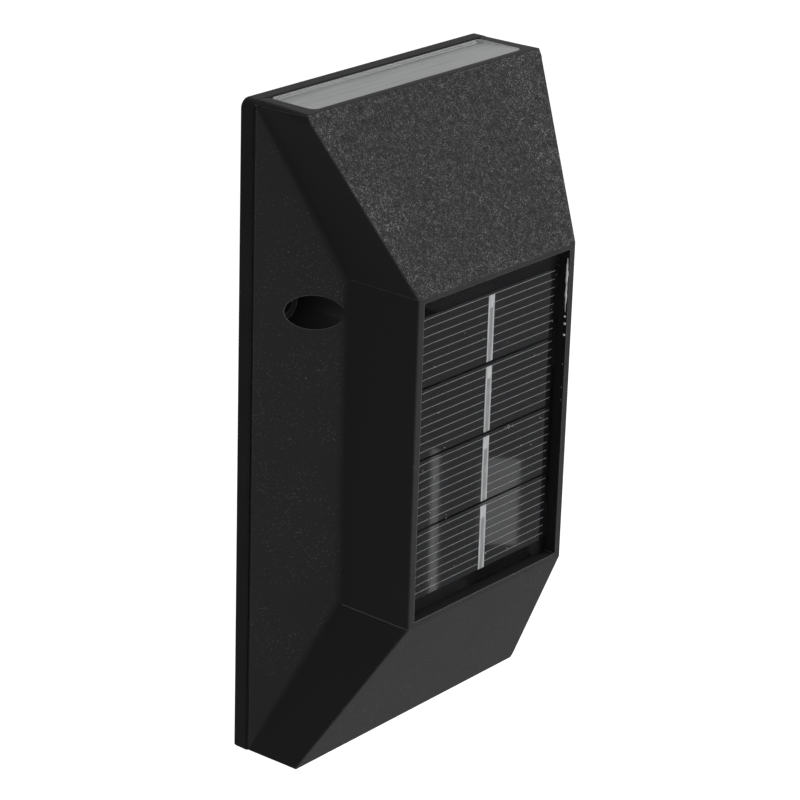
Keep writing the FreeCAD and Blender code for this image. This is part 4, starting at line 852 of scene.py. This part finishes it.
def makeFloor(size):
    mesh = bmesh.new()
    bmesh.ops.create_grid(mesh, x_segments=1, y_segments=1, size=size["floorSize"] / 2)
    data = bpy.data.meshes.new("floor")
    mesh.to_mesh(data)
    mesh.free()
    floor = link(bpy.data.objects.new("floor", data))
    floor.location.z = size["floorLevel"]
    material, graph = newMaterial("paleFloor")
    matt = graph.node("BsdfDiffuse", sockets={"Color": size["floorColour"]})
    glow = graph.node("Emission", sockets={
        "Color": (1, 1, 1), "Strength": shownDirectly(graph) * size["floorGlow"]})
    lit = graph.node("AddShader", sockets={0: matt, 1: glow})
    clear = graph.node("BsdfTransparent")                   # seen from below
    under = graph.node("NewGeometry", output="Backfacing")
    graph.close(graph.node("MixShader", sockets={0: under, 1: lit, 2: clear}))
    data.materials.append(material)


def makeWorld(size):
    world = bpy.data.worlds.new("studio")
    world.use_nodes = True
    graph = Graph(world.node_tree)
    strength = size["world"] + (1 - size["world"]) * shownDirectly(graph)
    background = graph.node("Background", sockets={"Color": (1, 1, 1), "Strength": strength})
    graph.node("OutputWorld", sockets={"Surface": background})
    bpy.context.scene.world = world


def makeLamp(name, place, target, power, width, height):
    data = bpy.data.lights.new(name, "AREA")
    data.shape = "RECTANGLE"
    data.size, data.size_y = width, height
    data.energy = power
    lamp = link(bpy.data.objects.new(name, data))
    lamp.location = place
    lamp.rotation_mode = "QUATERNION"
    lamp.rotation_quaternion = (Vector(place) - Vector(target)).to_track_quat("Z", "Y")
    lamp.visible_camera = False


def makeLamps(size):
    for name in ("key", "fill"):
        place = Vector(size[name + "Direction"]).normalized() * size[name + "Distance"]
        makeLamp(name + "Box", place, size[name + "Target"], size[name + "Power"],
                 size[name + "Size"], size[name + "Size"])
    makeLamp("reflectedCard", size["cardPlace"], size["panelTarget"], size["cardPower"],
             *size["cardSize"])
    makeLamp("reflectedStrip", size["stripPlace"], size["panelTarget"], size["stripPower"],
             *size["stripSize"])


# place in millimetres, angles in degrees, focal length and middle in pixels of the picture
camera = {
    "place": (-480.73, -410.67, 247.29), "azimuth": -50.52, "elevation": 21.14,
    "roll": 1.80, "focal": 3034.0, "picture": 800.0, "middle": (407.0, 378.0),
    "sensor": 36.0, "near": 0.01, "far": 50,
}


def makeCamera(view):
    azimuth, elevation = math.radians(view["azimuth"]), math.radians(view["elevation"])
    roll = math.radians(view["roll"])
    back = Vector((math.sin(azimuth) * math.cos(elevation),
                   -math.cos(azimuth) * math.cos(elevation), math.sin(elevation)))
    right = (-back).cross(Vector((0, 0, 1))).normalized()
    up = right.cross(-back)
    across = math.cos(roll) * right + math.sin(roll) * up
    upward = -math.sin(roll) * right + math.cos(roll) * up
    turn = Matrix((across, upward, back)).transposed().to_4x4()
    data = bpy.data.cameras.new("camera")
    half = view["picture"] / 2
    data.sensor_width = view["sensor"]
    data.lens = view["focal"] / view["picture"] * view["sensor"]
    data.shift_x = (half - view["middle"][0]) / view["picture"]
    data.shift_y = (view["middle"][1] - half) / view["picture"]
    data.clip_start, data.clip_end = view["near"], view["far"]
    made = link(bpy.data.objects.new("camera", data))
    made.matrix_world = Matrix.Translation(Vector(view["place"]) * mm) @ turn
    bpy.context.scene.camera = made


makeFloor(studio)
makeWorld(studio)
makeLamps(studio)
makeCamera(camera)
bpy.context.scene.view_settings.view_transform = "Standard"
print("stage: studio and camera made")
